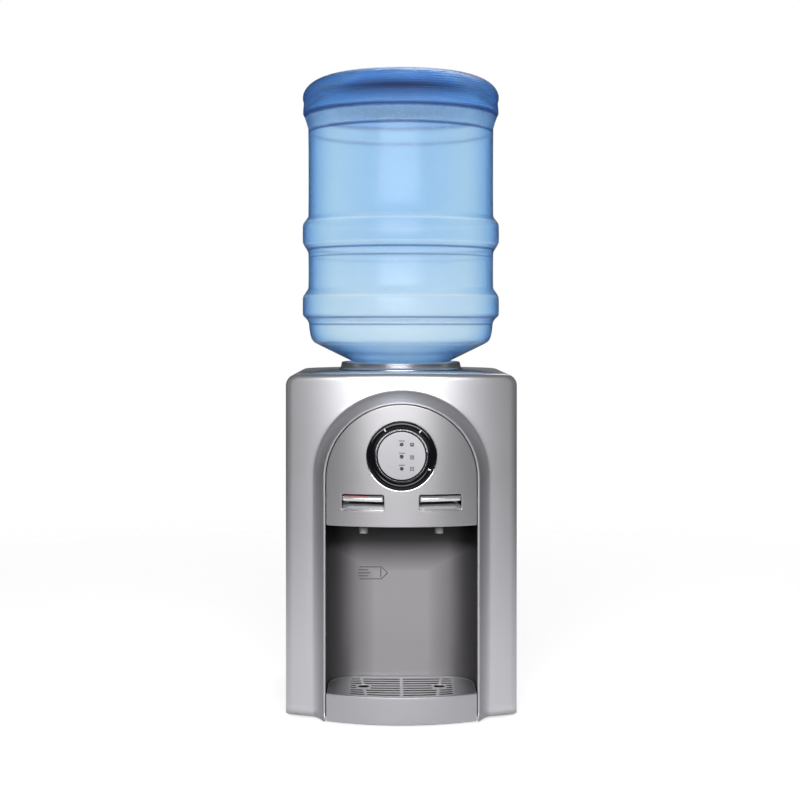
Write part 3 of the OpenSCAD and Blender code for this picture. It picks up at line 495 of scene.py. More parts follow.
# the bows and edges that every moulded piece of the front follows
panelLow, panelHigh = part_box("front_panel")
halfWidth, floorZ, topZ, splitY = panelHigh.x, panelLow.z, panelHigh.z, panelHigh.y
# the last colour is the painted shade colour for the cove beside the arch
front = {"bow": 0.390, "bowCentre": 0.255, "corner": 0.014, "topEdge": 0.0075, "shoulder": 0.015,
         "crown": 0.003, "wall": 0.0026, "colour": (0.74, 0.74, 0.77), "coveShadeColour": (0.26, 0.26, 0.28)}
arch = {"radius": 0.099, "spring": 0.3125, "cove": 0.0155, "ridge": 0.001, "depth": 0.0135}
face = {"bow": 0.226, "bowCentre": 0.062, "thick": 0.0025, "edge": 0.0009}


def bowY(x):
    return front["bowCentre"] - math.sqrt(front["bow"] ** 2 - x * x)


def faceY(x):
    return face["bowCentre"] - math.sqrt(face["bow"] ** 2 - x * x)


def crowned(x, y, z):  # the top droops a little towards both sides
    t = max(0.0, min(1.0, (z - topZ + 0.05) / 0.05))
    return (x, y, z - front["crown"] * (x / halfWidth) ** 2 * t * t * (3 - 2 * t))


def outerEdge(c, s):
    # from the arch's centre along (c, s) to the cabinet's rounded outline
    w, h, r = halfWidth, topZ - arch["spring"], front["shoulder"]
    t = min(w / max(abs(c), 1e-9), h / max(s, 1e-9))
    x, z = abs(c) * t, s * t
    if x > w - r and z > h - r:
        cx, cz = w - r, h - r
        b = abs(c) * cx + s * cz
        t = b + math.sqrt(b * b - (cx * cx + cz * cz - r * r))
    return c * t, arch["spring"] + s * t


def panelColumn(x0, z0, dx, dz, xe, ze):
    # one line of the moulding, from inside the arch, over the ridge, down the cove and out to the side
    ridgeY = faceY(min(abs(x0), arch["radius"])) - 0.0005
    lip = arch["ridge"]
    points = []
    for back in (arch["depth"], arch["depth"] * 0.5, lip * 1.5):
        points.append((x0 - 2 * lip * dx, ridgeY + back, z0 - 2 * lip * dz))
    for k in range(8):
        a = math.radians(180 - (180 - 18) * k / 7)
        off = lip * (math.cos(a) - 1)
        points.append((x0 + off * dx, ridgeY + lip * (1 - math.sin(a)), z0 + off * dz))
    startY = points[-1][1]
    coveSteps = 14
    for k in range(1, coveSteps + 1):
        u = k / coveSteps
        off = -0.05 * lip * (1 - u) + u * arch["cove"]
        w = 1 - (1 - u) ** 2
        x = x0 + off * dx
        points.append((x, startY * (1 - w) + bowY(x) * w, z0 + off * dz))
    xa, za = points[-1][0], points[-1][2]
    # the edge fillet, tangent to the bowed front
    sideways = abs(xe) > halfWidth - 1e-6
    atTop = ze > topZ - 1e-6
    if sideways:
        nx, nz, r = math.copysign(1, xe), 0.0, front["corner"]
    elif atTop:
        nx, nz, r = 0.0, 1.0, front["topEdge"]
    else:
        cx = math.copysign(halfWidth - front["shoulder"], xe)
        cz = topZ - front["shoulder"]
        nx, nz = (xe - cx) / front["shoulder"], (ze - cz) / front["shoulder"]
        side = abs(math.atan2(nz, abs(nx))) / (math.pi / 2)
        r = front["corner"] + (front["topEdge"] - front["corner"]) * side
    qx, qz = xe - nx * r, ze - nz * r
    slope = qx / math.sqrt(front["bow"] ** 2 - qx * qx) * nx
    lean = math.atan(slope)
    tx = qx + r * math.sin(lean) * nx
    tz = qz + r * math.sin(lean) * nz
    yc = bowY(tx) + r * math.cos(lean)
    for k in range(1, 10):
        t = k / 10
        x, z = xa + (tx - xa) * t, za + (tz - za) * t
        points.append((x, bowY(x), z))
    for k in range(11):
        a = lean + (math.pi / 2 - lean) * k / 10
        points.append((qx + r * math.sin(a) * nx, yc - r * math.cos(a), qz + r * math.sin(a) * nz))
    for t in (0.08, 0.4, 0.9, 1.0):
        points.append((xe, yc + (splitY - yc) * t, ze))
    return [crowned(*p) for p in points]


def mouldingFinish():
    # the silver lacquer, with painted shade in the cove beside the arch
    paint = silverPaint("mouldingSilver", front["colour"], 0.36, 0.8)
    x, _, z = paint.axes()
    rise = (z - arch["spring"]).atLeast(0.0)
    away = (x * x + rise * rise) ** 0.5 - arch["radius"]
    # painted shade: the cove is painted darker towards the arch, most on the two sides
    coveShade = (1 - away / arch["cove"]).clamped() * (away * 1500).clamped() * (1 - rise * 11).clamped()
    plain = Link(paint, paint.shader.inputs["Base Color"].links[0].from_socket)
    paint.put("Base Color", paint.mixed(coveShade * 0.75, plain, front["coveShadeColour"]))
    return paint


def frontMoulding():
    columns = []
    legs = 22
    fine = sorted({round(a * 2.5, 3) for a in range(37)} | {round(36.5 + 0.7 * k, 3) for k in range(15)})
    angles = fine + [180 - a for a in reversed(fine[:-1])]
    for k in range(legs):
        z = floorZ + (arch["spring"] - floorZ) * k / legs
        columns.append(panelColumn(arch["radius"], z, 1, 0, halfWidth, z))
    for a in angles:
        c, s = math.cos(math.radians(a)), math.sin(math.radians(a))
        x, z = arch["radius"] * c, arch["spring"] + arch["radius"] * s
        columns.append(panelColumn(x, z, c, s, *outerEdge(c, s)))
    for k in range(legs - 1, -1, -1):
        z = floorZ + (arch["spring"] - floorZ) * k / legs
        columns.append(panelColumn(-arch["radius"], z, -1, 0, -halfWidth, z))
    panel = loft("frontMoulding", columns, mouldingFinish(), angle=50)
    outward(panel, Vector((0, 0, 0.22)))
    solid = panel.modifiers.new("wall", "SOLIDIFY")
    solid.thickness = front["wall"]
    solid.offset = -1
    stands(panel, "cabinet", "silver_moulding", "front_panel", "arch_surround")


def outward(obj, centre):
    # turns an open skin's normals away from centre, so that its wall grows inwards
    total = sum((p.center - centre).dot(p.normal) * p.area for p in obj.data.polygons)
    if total < 0:
        obj.data.flip_normals()


frontMoulding()
print("front moulding made")


# the control panel, and where its badge and taps stand
controls = {"bottomCorner": 0.0025, "badgeHole": 0.038, "slotCorner": 0.0028, "slot": (0.0536, 0.0205)}
badgeLow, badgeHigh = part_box("badge_ring")
badgeZ = (badgeLow.z + badgeHigh.z) / 2
tapX = (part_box("cold_tap_body")[0].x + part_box("cold_tap_body")[1].x) / 2
tapY = sum(c.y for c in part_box("cold_tap_valve")) / 2
lampHeights = (0.0142, -0.001, -0.0162)  # over the badge's centre


def onFace(bow, thick):
    def place(u, v, w):
        a = math.asin(u / face["bow"])
        r = bow - thick / 2 + w
        return (r * math.sin(a), face["bowCentre"] - r * math.cos(a), v)
    return place


def archLoop(half, low, corner, spring, steps=64):
    loop = [(half - corner, low)] + arcPoints(half - corner, low + corner, corner, -90, 0, 4)[1:]
    loop += arcPoints(0, spring, half, 0, 180, steps)
    loop += arcPoints(-half + corner, low + corner, corner, 180, 270, 4)
    return loop


def slotLoop(cx, cz, w, h, r):
    w, h = w / 2, h / 2
    loop = []
    for sx, sz, start in ((1, -1, -90), (1, 1, 0), (-1, 1, 90), (-1, -1, 180)):
        loop += arcPoints(cx + sx * (w - r), cz + sz * (h - r), r, start, start + 90, 5)
    return loop


def controlPanel():
    low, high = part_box("control_panel")
    slotZ = low.z + 0.03045
    outline = archLoop(high.x, low.z, controls["bottomCorner"], arch["spring"])
    hole = arcPoints(0, badgeZ, controls["badgeHole"], 0, 360, 96)[:-1]
    loops = [outline, hole]
    for s in (-1, 1):
        loops.append(slotLoop(s * tapX, slotZ, *controls["slot"], controls["slotCorner"]))
    cuts = [0.004 * k for k in range(-23, 24)]
    place = onFace(face["bow"], face["thick"])
    panel = sheetOf("controlPanel", loops, face["thick"], face["edge"], "face", place, cuts, 3, 40)
    stands(panel, "cabinet", "satin_grey_panel", "control_panel")
    # folded ledge behind the lower edge
    rows = []
    sweep, steps, foot = 25.3, 40, low.z + 0.0002
    section = ((0.2232, 0.0024), (0.2232, 0.0), (0.2225, 0.0), (0.214, 0.0), (0.214, 0.0024))
    for k in range(steps + 1):
        a = math.radians(sweep * (2 * k / steps - 1))
        rows.append([(r * math.sin(a), face["bowCentre"] - r * math.cos(a), foot + z) for r, z in section])
    ledge = loft("panelLedge", rows, "face", closed=True, caps=True)
    stands(softened(ledge, 0.0004), "cabinet", "satin_grey_panel")


def badge():
    centre = (0, 0, badgeZ)

    def ringProfile(a):
        back = faceY(0.0436 * math.cos(a)) + 0.0006
        outer = [(0.0376, back), (0.0436, back), (0.0436, -0.1660)]
        crown = [(0.0434, -0.1668), (0.0427, -0.1674), (0.0410, -0.1678), (0.0388, -0.168),
                 (0.0368, -0.1679)]
        bevel = [(0.0357, -0.1675), (0.0348, -0.1668), (0.0340, -0.1658), (0.0322, -0.1644),
                 (0.0314, -0.1638)]
        inner = [(0.0310, -0.1632), (0.0309, -0.1612), (0.0302, -0.1606), (0.0302, -0.152), (0.0376, -0.152)]
        return outer + crown + bevel + inner

    ring = turned("badgeRing", ringProfile, centre, "glossBlack", 144, "Y", angle=40)
    stands(ring, "cabinet", "gloss_black", "badge_ring")

    def bezelProfile(a):
        back = faceY(0.0444 * math.cos(a)) + 0.0004
        return [(0.0437, back), (0.0447, back), (0.0447, -0.1648), (0.0446, -0.1656), (0.0443, -0.1660),
                (0.0439, -0.1659), (0.0437, -0.1654)]

    bezel = turned("badgeBezel", bezelProfile, centre, "chrome", 144, "Y", angle=40)
    stands(bezel, "cabinet", "chrome_trim", "badge_bezel")
    chamfer = [(0.0317, -0.16405), (0.0322, -0.16465), (0.0335, -0.1657), (0.0333, -0.1656),
               (0.0316, -0.16385)]
    liner = turned("badgeChamfer", chamfer, centre, "chrome", 144, "Y", angle=40)
    stands(liner, "cabinet", "chrome_trim")
    for k, turn in enumerate((123, 53, -26)):  # bright ticks let into the ring, painted highlights standing in for the lamp glints on the gloss
        c, s = math.cos(math.radians(turn)), math.sin(math.radians(turn))
        glintTick = [(0.0368, -0.0009), (0.0405, -0.0009), (0.0405, 0.0009), (0.0368, 0.0009)]
        loop = rounded([(u * c - v * s, u * s + v * c) for u, v in glintTick], 0.0003, 2)
        made = sheetOf(f"badgeTick{k}", [loop], 0.0006, 0.00015, "lever",
                       lambda u, v, w: (u, -0.16785 - w, badgeZ + v))
        stands(made, "cabinet", "chrome_trim")
    holes = [arcPoints(0, z, 0.0023, 0, 360, 24)[:-1] for z in reversed(lampHeights)]
    outline = arcPoints(0, 0, 0.0300, 0, 360, 96)[:-1]
    disc = sheetOf("badgeDisc", [outline] + holes, 0.0018, 0.0003, "pearl",
                   lambda u, v, w: (u, -0.1619 - w, badgeZ + v), angle=40)
    stands(disc, "cabinet", "pearl_disc", "badge_disc")


lampSet = {"radius": 0.0019, "dome": 0.0009, "step": 0.0152,
           "colours": {"powerLamp": (0.060, 0.045, 0.050), "heatingLamp": (0.050, 0.042, 0.048),
                       "coolingLamp": (0.045, 0.048, 0.060)}}


def lamps():
    low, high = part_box("badge_lamps")
    middle, radius = (low.z + high.z) / 2, lampSet["radius"]
    for k, (name, colour) in enumerate(lampSet["colours"].items()):
        lens = Finish(name, colour, 0.12, Coat_Weight=0.6, Transmission_Weight=0.25)
        swirl = lens.noise(900, 2.0)
        dark, light = tuple(c * 0.8 for c in colour), tuple(c * 1.5 for c in colour)
        lens.put("Base Color", lens.mixed(swirl, dark, light))
        lens.put("Roughness", 0.08 + 0.1 * swirl)
        dome = [(radius, high.y), (radius, -0.1629)]
        for a in range(15, 91, 15):
            c, s = math.cos(math.radians(a)), math.sin(math.radians(a))
            dome.append((max(radius * c, 0.00001), -0.1629 - lampSet["dome"] * s))
        dome.append((0.00001, high.y))
        lamp = turned(name, dome, (0, 0, middle + lampSet["step"] * (1 - k)), lens, 32, "Y")
        stands(lamp, "cabinet", "lamp_lenses", *(["badge_lamps"] if k == 0 else []))


def badgeMarks():
    # plain pictograms beside the lamps and a small bar over each: power, warmth, cold
    ink = Finish("printedMarks", (0.06, 0.035, 0.05), 0.4)
    worn = ink.noise(1500, 2.0)
    ink.put("Base Color", ink.mixed(worn, (0.025, 0.018, 0.022), (0.05, 0.04, 0.05)))
    ink.put("Roughness", 0.35 + 0.15 * worn)
    red = Finish("printedRed", (0.22, 0.02, 0.05), 0.4)
    red.put("Base Color", red.mixed(red.noise(1500, 2.0), (0.13, 0.012, 0.03), (0.20, 0.03, 0.055)))
    printedOn = -0.16302  # middle of the marks, whose backs meet the disc's face

    def mark(name, loops, finish, x, z):
        made = sheetOf(name, loops, 0.0004, 0.00008, finish,
                       lambda u, v, w: (x + u, printedOn - w, badgeZ + z + v))
        nodes = ["badge_icons"] if name == "markPower" else []
        return stands(made, "cabinet", "printed_marks", *nodes)

    def bar(w, h, cx=0.0, cz=0.0):
        return [(cx + x * w / 2, cz + y * h / 2) for x, y in ((-1, -1), (1, -1), (1, 1), (-1, 1))]

    over, aside = 0.0046, 0.013  # the bars stand over the lamps, the pictograms beside them
    dashes = [bar(0.0017, 0.0010, -0.0024), bar(0.0019, 0.0010, -0.0002), bar(0.0025, 0.0010, 0.0024)]
    for k, z in enumerate(lampHeights):
        mark(f"markBar{k}", dashes, ink, 0, z + over)
    stamp = [rounded(bar(0.0050, 0.0044), 0.0008), bar(0.0032, 0.0007), bar(0.0007, 0.0013, 0, 0.0011),
             bar(0.0007, 0.0013, 0, -0.0011)]
    mark("markPower", stamp, red, aside, lampHeights[0])
    waves = []
    for j in (-1, 0, 1):
        left = [(0.0018 * j + 0.0004 * math.sin(t * 1.05) - 0.0005, -0.0018 + 0.0006 * t) for t in range(7)]
        right = [(x + 0.0010, y) for x, y in reversed(left)]
        waves.append(left + right)
    mark("markWarmth", waves + [bar(0.0052, 0.0009, 0, -0.0028)], ink, aside, lampHeights[1])
    dots = []
    pitch = 0.0018
    for i in range(3):
        for j in range(3):
            dot = 0.0006 if (i + j) % 2 else 0.0008
            dots.append(arcPoints(pitch * (i - 1), pitch * (j - 1), dot, 0, 360, 10)[:-1])
    mark("markCold", dots, ink, aside, lampHeights[2])


controlPanel()
badge()
lamps()
badgeMarks()
print("control panel made")


leverSet = {"width": 0.0512, "front": 0.0015, "barLow": 0.286, "barHigh": 0.293, "round": 0.0034,
            "barDepth": 0.0066, "webDepth": 0.0400, "web": 0.0024}


def polarSweep(name, profile, xFrom, xTo, finish, steps=28, angle=35, endRound=0.0):
    # sweeps a (radius, height) profile round the face's bow, between two places across the front
    rows = []
    stops = [xFrom + (xTo - xFrom) * k / steps for k in range(steps + 1)]
    for x in stops:
        a = math.asin(x / face["bow"])
        near = min(abs(x - xFrom), abs(xTo - x))
        pull = 0.0
        if endRound and near < endRound:
            pull = endRound - math.sqrt(max(endRound ** 2 - (endRound - near) ** 2, 0))
        row = []
        for r, z in profile:
            rr = r - pull
            row.append((rr * math.sin(a), face["bowCentre"] - rr * math.cos(a), z))
        rows.append(row)
    return loft(name, rows, finish, closed=True, caps=True, angle=angle)


def lever(side, body):
    cx = tapX * (-1 if side == "hot" else 1)
    half = leverSet["width"] / 2
    r0 = face["bow"] + leverSet["front"]
    low, high, rr = leverSet["barLow"], leverSet["barHigh"], leverSet["round"]
    mid = (low + high) / 2
    nose = [(r0 - rr + rr * math.cos(math.radians(a)), mid + (high - low) / 2 * math.sin(math.radians(a)))
            for a in range(-90, 91, 12)]
    barBack, webBack, webLow = r0 - leverSet["barDepth"], r0 - leverSet["webDepth"], high - leverSet["web"]
    profile = [(barBack, low + 0.0002)] + nose
    profile += [(barBack, high), (webBack, high), (webBack, webLow), (barBack, webLow)]
    bar = polarSweep(side + "LeverBar", profile, cx - half, cx + half, "lever", 36, endRound=0.0012)
    stands(softened(bar, 0.0004, 2, 40), body, "lever_silver", side + "_lever")
    # barrel, bridge and fork behind the slot
    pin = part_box("lever_pins")
    pinY, pinZ = (pin[0].y + pin[1].y) / 2, (pin[0].z + pin[1].z) / 2
    tube = [(0.00156, -0.0176), (0.0037, -0.0176), (0.004, -0.0173), (0.004, 0.0173), (0.0037, 0.0176),
            (0.00156, 0.0176)]
    barrel = turned(side + "LeverBarrel", tube, (cx, pinY, pinZ), "lever", 40, "X")
    stands(barrel, body, "lever_silver")
    bridge = (0.0352, pinY - 0.0085, pinY - 0.0025, 0.2907, 0.2931)  # width, then from and to in y and z
    prong = (0.0028, pinY + 0.003, pinY + 0.018, 0.2866, 0.2892)
    for name, x, (w, y0, y1, z0, z1) in (("Bridge", 0, bridge), ("ForkLeft", -0.0042, prong),
                                         ("ForkRight", 0.0042, prong)):
        loop = rounded([(x - w / 2, y0), (x + w / 2, y0), (x + w / 2, y1), (x - w / 2, y1)], 0.001, 3)
        plate = sheetOf(side + "Lever" + name, [loop], z1 - z0, 0.0004, "lever",
                        lambda u, v, q, cx=cx, zc=(z0 + z1) / 2: (cx + u, v, zc + q))
        stands(plate, body, "lever_silver")


def markerStrip():
    r0 = face["bow"] - 0.0002
    profile = [(r0 - 0.0030, 0.2921), (r0 - 0.0004, 0.2921), (r0 - 0.0001, 0.2926), (r0 - 0.0004, 0.2932),
               (r0 - 0.0011, 0.2935), (r0 - 0.0026, 0.2935), (r0 - 0.0030, 0.2932)]
    left, right = -tapX - 0.0249, -tapX + 0.0059
    strip = polarSweep("hotMarkerStrip", profile, left, right, "marker", 20, endRound=0.0004)
    stands(strip, "hot_lever", "marker_red", "hot_lever_marker")


def scoop(side):
    cx = tapX * (-1 if side == "hot" else 1)
    half = controls["slot"][0] / 2 + 0.0014
    r1 = face["bow"] - face["thick"] - 0.00015
    bend, sheet, foot = 0.0108, 0.0015, 0.2706
    outer = arcPoints(r1 - bend, foot, bend, 0, 88, 11)
    inner = arcPoints(r1 - bend, foot, bend - sheet, 88, 0, 11)
    apron = polarSweep(side + "Scoop", outer + inner, cx - half, cx + half, "lever", 24, angle=50)
    stands(apron, "cabinet", "lever_silver", "lever_scoops")
    # dark ledge and lip that close the slot behind the bar, black to paint the shadow inside the slot
    top, back, near, lip, thick = 0.2812, r1 - 0.0270, r1 - 0.0112, 0.0036, 0.0012
    shade = [(near, top), (back, top), (back, top + lip), (back - thick, top + lip),
             (back - thick, top - thick), (near, top - thick)]
    ledge = polarSweep(side + "SlotLedge", shade, cx - half, cx + half, "black", 24, angle=50)
    stands(ledge, "cabinet", "black_plastic")


for side in ("hot", "cold"):
    lever(side, side + "_lever")
    scoop(side)
markerStrip()
print("levers made")


bottleLow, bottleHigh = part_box("bottle_wall_upper")
axisY = (bottleLow.y + bottleHigh.y) / 2
ribR = (bottleHigh.x - bottleLow.x) / 2
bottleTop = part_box("bottle_base")[1].z
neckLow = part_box("bottle_neck")[0].z
bottleSet = {"wall": 0.0018, "clear": 0.84, "dome": (0.045, 0.028)}
# heights of the painted shade lines and painted highlight lines round the bottle, with their half widths and
# strengths
tone = {"groove": 0.7955, "bandLow": 0.7725, "shadePool": 0.819, "knurl": (150, 950),
        "shadeLines": ((0.7955, 0.0045, 0.95), (0.7722, 0.0026, 0.9), (0.6113, 0.0022, 0.8),
                      (0.6005, 0.0014, 0.5), (0.5185, 0.0020, 0.65), (0.5090, 0.0016, 0.6),
                      (0.4700, 0.0050, 0.35)),
        "highlightLines": ((0.6480, 0.0022, 0.8), (0.5470, 0.0020, 0.7), (0.6180, 0.0020, 0.6),
                       (0.4830, 0.0030, 0.6))}


def smoothPath(points, per=6):
    # a soft curve through profile points (Catmull-Rom), which keeps straight stretches straight
    out = []
    for i in range(len(points) - 1):
        a, b = Vector(points[i]), Vector(points[i + 1])
        before = Vector(points[i - 1]) if i else a
        after = Vector(points[i + 2]) if i + 2 < len(points) else b
        ta, tb = (b - before) * 0.5, (after - a) * 0.5
        span = (b - a).length
        ta = ta.normalized() * min(ta.length, span) if ta.length else ta
        tb = tb.normalized() * min(tb.length, span) if tb.length else tb
        for k in range(per):
            t = k / per
            h1, h2 = 2 * t ** 3 - 3 * t ** 2 + 1, -2 * t ** 3 + 3 * t ** 2
            h3, h4 = t ** 3 - 2 * t ** 2 + t, t ** 3 - t ** 2
            out.append(tuple(a * h1 + b * h2 + ta * h3 + tb * h4))
    out.append(tuple(points[-1]))
    return out


def bottleProfile(inset=0.0):
    rib = ribR - inset
    shoulderZ = 0.456 + (0.116 - 0.0626) * 0.49  # the cone rises 0.49 for each step outwards
    neck = [(0.0270, neckLow), (0.0286, neckLow + 0.0015), (0.0286, 0.384), (0.0300, 0.386), (0.0300, 0.390),
            (0.0286, 0.392), (0.0286, 0.434), (0.0305, 0.442)]
    cone = [(0.040, 0.4449), (0.116, shoulderZ)]
    side = [(0.1205, shoulderZ + 0.0032), (0.1236, shoulderZ + 0.0085), (0.1254, shoulderZ + 0.0160),
            (0.1264, shoulderZ + 0.0245), (0.1272, 0.5115), (0.1300, 0.5160), (0.1334, 0.5193)]
    ribs = [(0.1350, 0.5225), (0.1350, 0.5435), (0.1340, 0.5478), (0.1306, 0.5532), (0.1274, 0.5590)]
    waist = [(0.1274, 0.606), (0.1302, 0.6125), (0.1336, 0.6180), (0.1350, 0.6222), (0.1350, 0.6428),
             (0.1340, 0.6472), (0.1306, 0.6520), (0.1274, 0.6575)]
    upper = [(0.1274, 0.776), (0.1296, 0.7850), (0.1326, 0.7938), (0.1346, 0.7985)]
    domeW, domeH = bottleSet["dome"]
    dome = [(rib - domeW + domeW * math.cos(math.radians(a)),
             bottleTop - inset - domeH + domeH * math.sin(math.radians(a))) for a in range(-14, 82, 8)]
    top = [(0.062, bottleTop - 0.0003), (0.030, bottleTop - 0.0006), (0.0001, bottleTop - 0.0007)]
    outer = neck[:7] + smoothPath([neck[7]] + cone + side + ribs + waist + upper + dome + top, 4)
    if not inset:
        return outer
    inner = []
    for i, (r, z) in enumerate(outer):
        before, after = outer[max(i - 1, 0)], outer[min(i + 1, len(outer) - 1)]
        d = Vector((after[0] - before[0], after[1] - before[1])).normalized()
        inner.append((max(r - d.y * inset, 0.0001), z + d.x * inset))
    return inner


def bottleFinish():
    clear = Finish("blueBottle", (0.6, 0.78, 0.92), 0.14, IOR=1.18, Specular_IOR_Level=0.4)
    x, y, z = clear.axes()
    ripple = clear.noise(6.5, 2.0, 0.5, stretch=(1, 1, 0.12))
    pebble = clear.cells(190)
    fine = clear.noise(260, 3.0)
    angle = (y - axisY).maths("ARCTAN2", y - axisY, x)
    facing = clear.facing(0.5)
    # the knurled base stands over a groove and a pebbled band
    base = ((z - tone["groove"]) * 160).clamped()
    band = ((z - tone["bandLow"]) * 260).clamped() * ((tone["groove"] - z) * 260).clamped()
    turns, rise = tone["knurl"]
    hatch = (angle * turns + z * rise).sine() * (angle * turns - z * rise).sine()
    hatch = hatch * ((x * x + (y - axisY) * (y - axisY)) ** 0.5 * 18 - 0.8).clamped()
    # partly the bottle's own blue, partly painted shade: painted darker towards the outline and over the
    # base, with a painted light band inside the edges
    body = clear.ramp(facing, (0.0, (0.58, 0.77, 0.94)), (0.30, (0.70, 0.87, 0.98)),
                      (0.60, (0.42, 0.68, 0.96)), (0.80, (0.12, 0.33, 0.72)), (1.0, (0.03, 0.12, 0.42)))
    dome = clear.ramp(facing, (0.0, (0.30, 0.55, 0.90)), (0.35, (0.22, 0.50, 0.90)),
                      (0.65, (0.10, 0.34, 0.80)), (0.85, (0.04, 0.16, 0.56)), (1.0, (0.02, 0.07, 0.34)))
    # painted light: the lower middle of the body is painted lighter
    paintedLight = ((0.64 - z) * 7).clamped() * (1 - facing * 1.5).clamped()
    shade = clear.mixed(base, clear.mixed(paintedLight * 0.75, body, (0.90, 0.97, 1.0)), dome)

    def line(place, width):
        return (1 - ((z - place).absolute() / width)).clamped()

    # painted highlight lines and painted shade lines at the rib edges
    for place, width, strength in tone["highlightLines"]:
        shade = clear.mixed(line(place, width) * strength, shade, (0.95, 0.99, 1.0))
    for place, width, strength in tone["shadeLines"]:
        shade = clear.mixed(line(place, width) * strength, shade, (0.03, 0.10, 0.36))
    # the knurl pattern is the bottle's own; its light marks are painted highlights
    glint = base * (hatch * 3 - 0.2).clamped() * (0.45 + ripple)
    shade = clear.mixed(glint * 0.75, shade, (0.66, 0.88, 1.0))
    # painted shade: a dark pool painted round the base where the surface faces the viewer
    shadePool = line(tone["shadePool"], 0.017) * (1 - facing * 2.2).clamped()
    shade = clear.mixed(shadePool * (1 - glint * 0.35), shade, (0.008, 0.010, 0.10))
    fleck = ((0.34 - pebble) * 7).clamped() * band
    shade = clear.mixed(fleck * 0.6, shade, (0.90, 0.98, 1.0))
    clear.put("Base Color", shade)
    clear.put("Roughness", 0.12 + 0.05 * fine + 0.12 * band + 0.06 * ripple)
    clear.put("Transmission Weight", bottleSet["clear"])
    height = ripple * 0.15 + band * (pebble * 1.2) + base * hatch * 0.6 + fine * 0.03
    clear.bump(height, 0.6, 0.0009)
    return clear


def bottle():
    outer = bottleProfile()
    inner = bottleProfile(bottleSet["wall"])
    profile = outer + list(reversed(inner))
    made = turned("bottleShell", profile, (0, axisY, 0), bottleFinish(), 160, "Z", closed=True, angle=38)
    nodes = ["bottle_" + part for part in ("neck", "cone", "shoulder", "wall_lower", "wall_upper", "base")]
    stands(made, "bottle", "blue_bottle", *nodes)


def bottleCap():
    lining = [(0.0288, 0.3758), (0.0288, 0.3844), (0.0302, 0.3858), (0.0302, 0.3904), (0.0288, 0.3922)]
    skirt = [(0.0288, 0.4), (0.0313, 0.4), (0.0316, 0.3996), (0.0316, 0.3745), (0.0308, 0.3733)]
    socket = [(0.0300, 0.373), (0.0118, 0.373), (0.0098, 0.3738), (0.0094, 0.3750), (0.0094, 0.394),
              (0.0110, 0.394), (0.0110, 0.3758)]
    cap = lining + skirt + socket

    def grip(a):  # fine ribs round the cap's skirt
        lift = 0.00016 * math.cos(48 * a)
        return [(r + (lift if r > 0.0311 else 0), z) for r, z in cap]

    made = turned("capShell", grip, (0, axisY, 0), "capBlue", 192, "Z", angle=40)
    stands(made, "bottle", "cap_blue", "bottle_cap")


def seat():
    top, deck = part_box("bottle_seat")[1].z, topZ
    outer = [(0.0854, deck + 0.0002), (0.0854, deck + 0.0010), (0.0849, deck + 0.0016),
             (0.0836, deck + 0.0020), (0.0828, deck + 0.0028), (0.0818, top - 0.0026),
             (0.0814, top - 0.0010), (0.0808, top - 0.0003), (0.0798, top), (0.0786, top - 0.0002),
             (0.0778, top - 0.0008), (0.0770, top - 0.0020)]
    bowl = [(0.0754, deck + 0.0006), (0.0743, deck - 0.0010), (0.0730, deck - 0.0015),
            (0.0665, deck - 0.0015), (0.0610, 0.4538), (0.0600, 0.4543), (0.0500, 0.4494),
            (0.0440, 0.4440), (0.0360, 0.4360)]
    tube = [(0.0360, 0.3722), (0.0356, 0.3712), (0.0330, 0.3692), (0.0150, 0.3692), (0.0150, 0.3665),
            (0.0385, 0.3665), (0.0385, 0.4345), (0.0500, 0.4430), (0.0580, 0.4435), (0.0700, 0.4425),
            (0.0779, 0.4430), (0.0779, deck + 0.0002)]
    made = turned("bottleCollar", outer + bowl + tube, (0, axisY, 0), "seat", 144, "Z", angle=40)
    stands(made, "cabinet", "grey_seat", "bottle_seat")


bottle()
bottleCap()
seat()
print("bottle and seat made")


def topCover():
    low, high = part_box("top_cover")
    corner, shoulder, wall = 0.014, front["shoulder"], 0.003
    rows = []
    depthSteps = 36
    # arched section across the width, carried from front to back; the rear corners are rounded in plan
    for k in range(depthSteps + 1):
        t = k / depthSteps
        y = low.y + (high.y - low.y) * (1 - (1 - t) ** 1.35)
        pull = 0.0
        if y > high.y - corner:
            pull = corner - math.sqrt(max(corner ** 2 - (y - high.y + corner) ** 2, 0))
        half = halfWidth - pull
        row = [(half, y, low.z)]
        for a in range(0, 91, 9):
            row.append((half - shoulder + shoulder * math.cos(math.radians(a)), y,
                        topZ - shoulder + shoulder * math.sin(math.radians(a))))
        for j in range(1, 16):
            row.append(((half - shoulder) * (1 - j / 8), y, topZ))
        for a in range(90, 181, 9):
            row.append((-half + shoulder + shoulder * math.cos(math.radians(a)), y,
                        topZ - shoulder + shoulder * math.sin(math.radians(a))))
        row.append((-half, y, low.z))
        rows.append([crowned(*p) for p in row])
    rows.append([(x, y, low.z) for x, y, _ in rows[-1]])
    cover = loft("topCover", rows, "cover", angle=50)
    outward(cover, Vector((0, 0.04, 0.3)))
    solid = cover.modifiers.new("wall", "SOLIDIFY")
    solid.thickness = wall
    solid.offset = -1
    cutter = turned("coverCutter", [(0.0001, 0.40), (0.0784, 0.40), (0.0784, 0.50), (0.0001, 0.50)],
                    (0, axisY, 0), "cover", 96, "Z")
    hole = cover.modifiers.new("hole", "BOOLEAN")
    hole.object = cutter
    hole.solver = "EXACT"
    bpy.context.view_layer.update()
    mesh = bpy.data.meshes.new_from_object(cover.evaluated_get(bpy.context.evaluated_depsgraph_get()))
    cover.modifiers.clear()
    cover.data = mesh
    bpy.data.objects.remove(cutter)
    stands(softened(cover, 0.0005, 2, 50), "cabinet", "silver_cover", "top_cover")


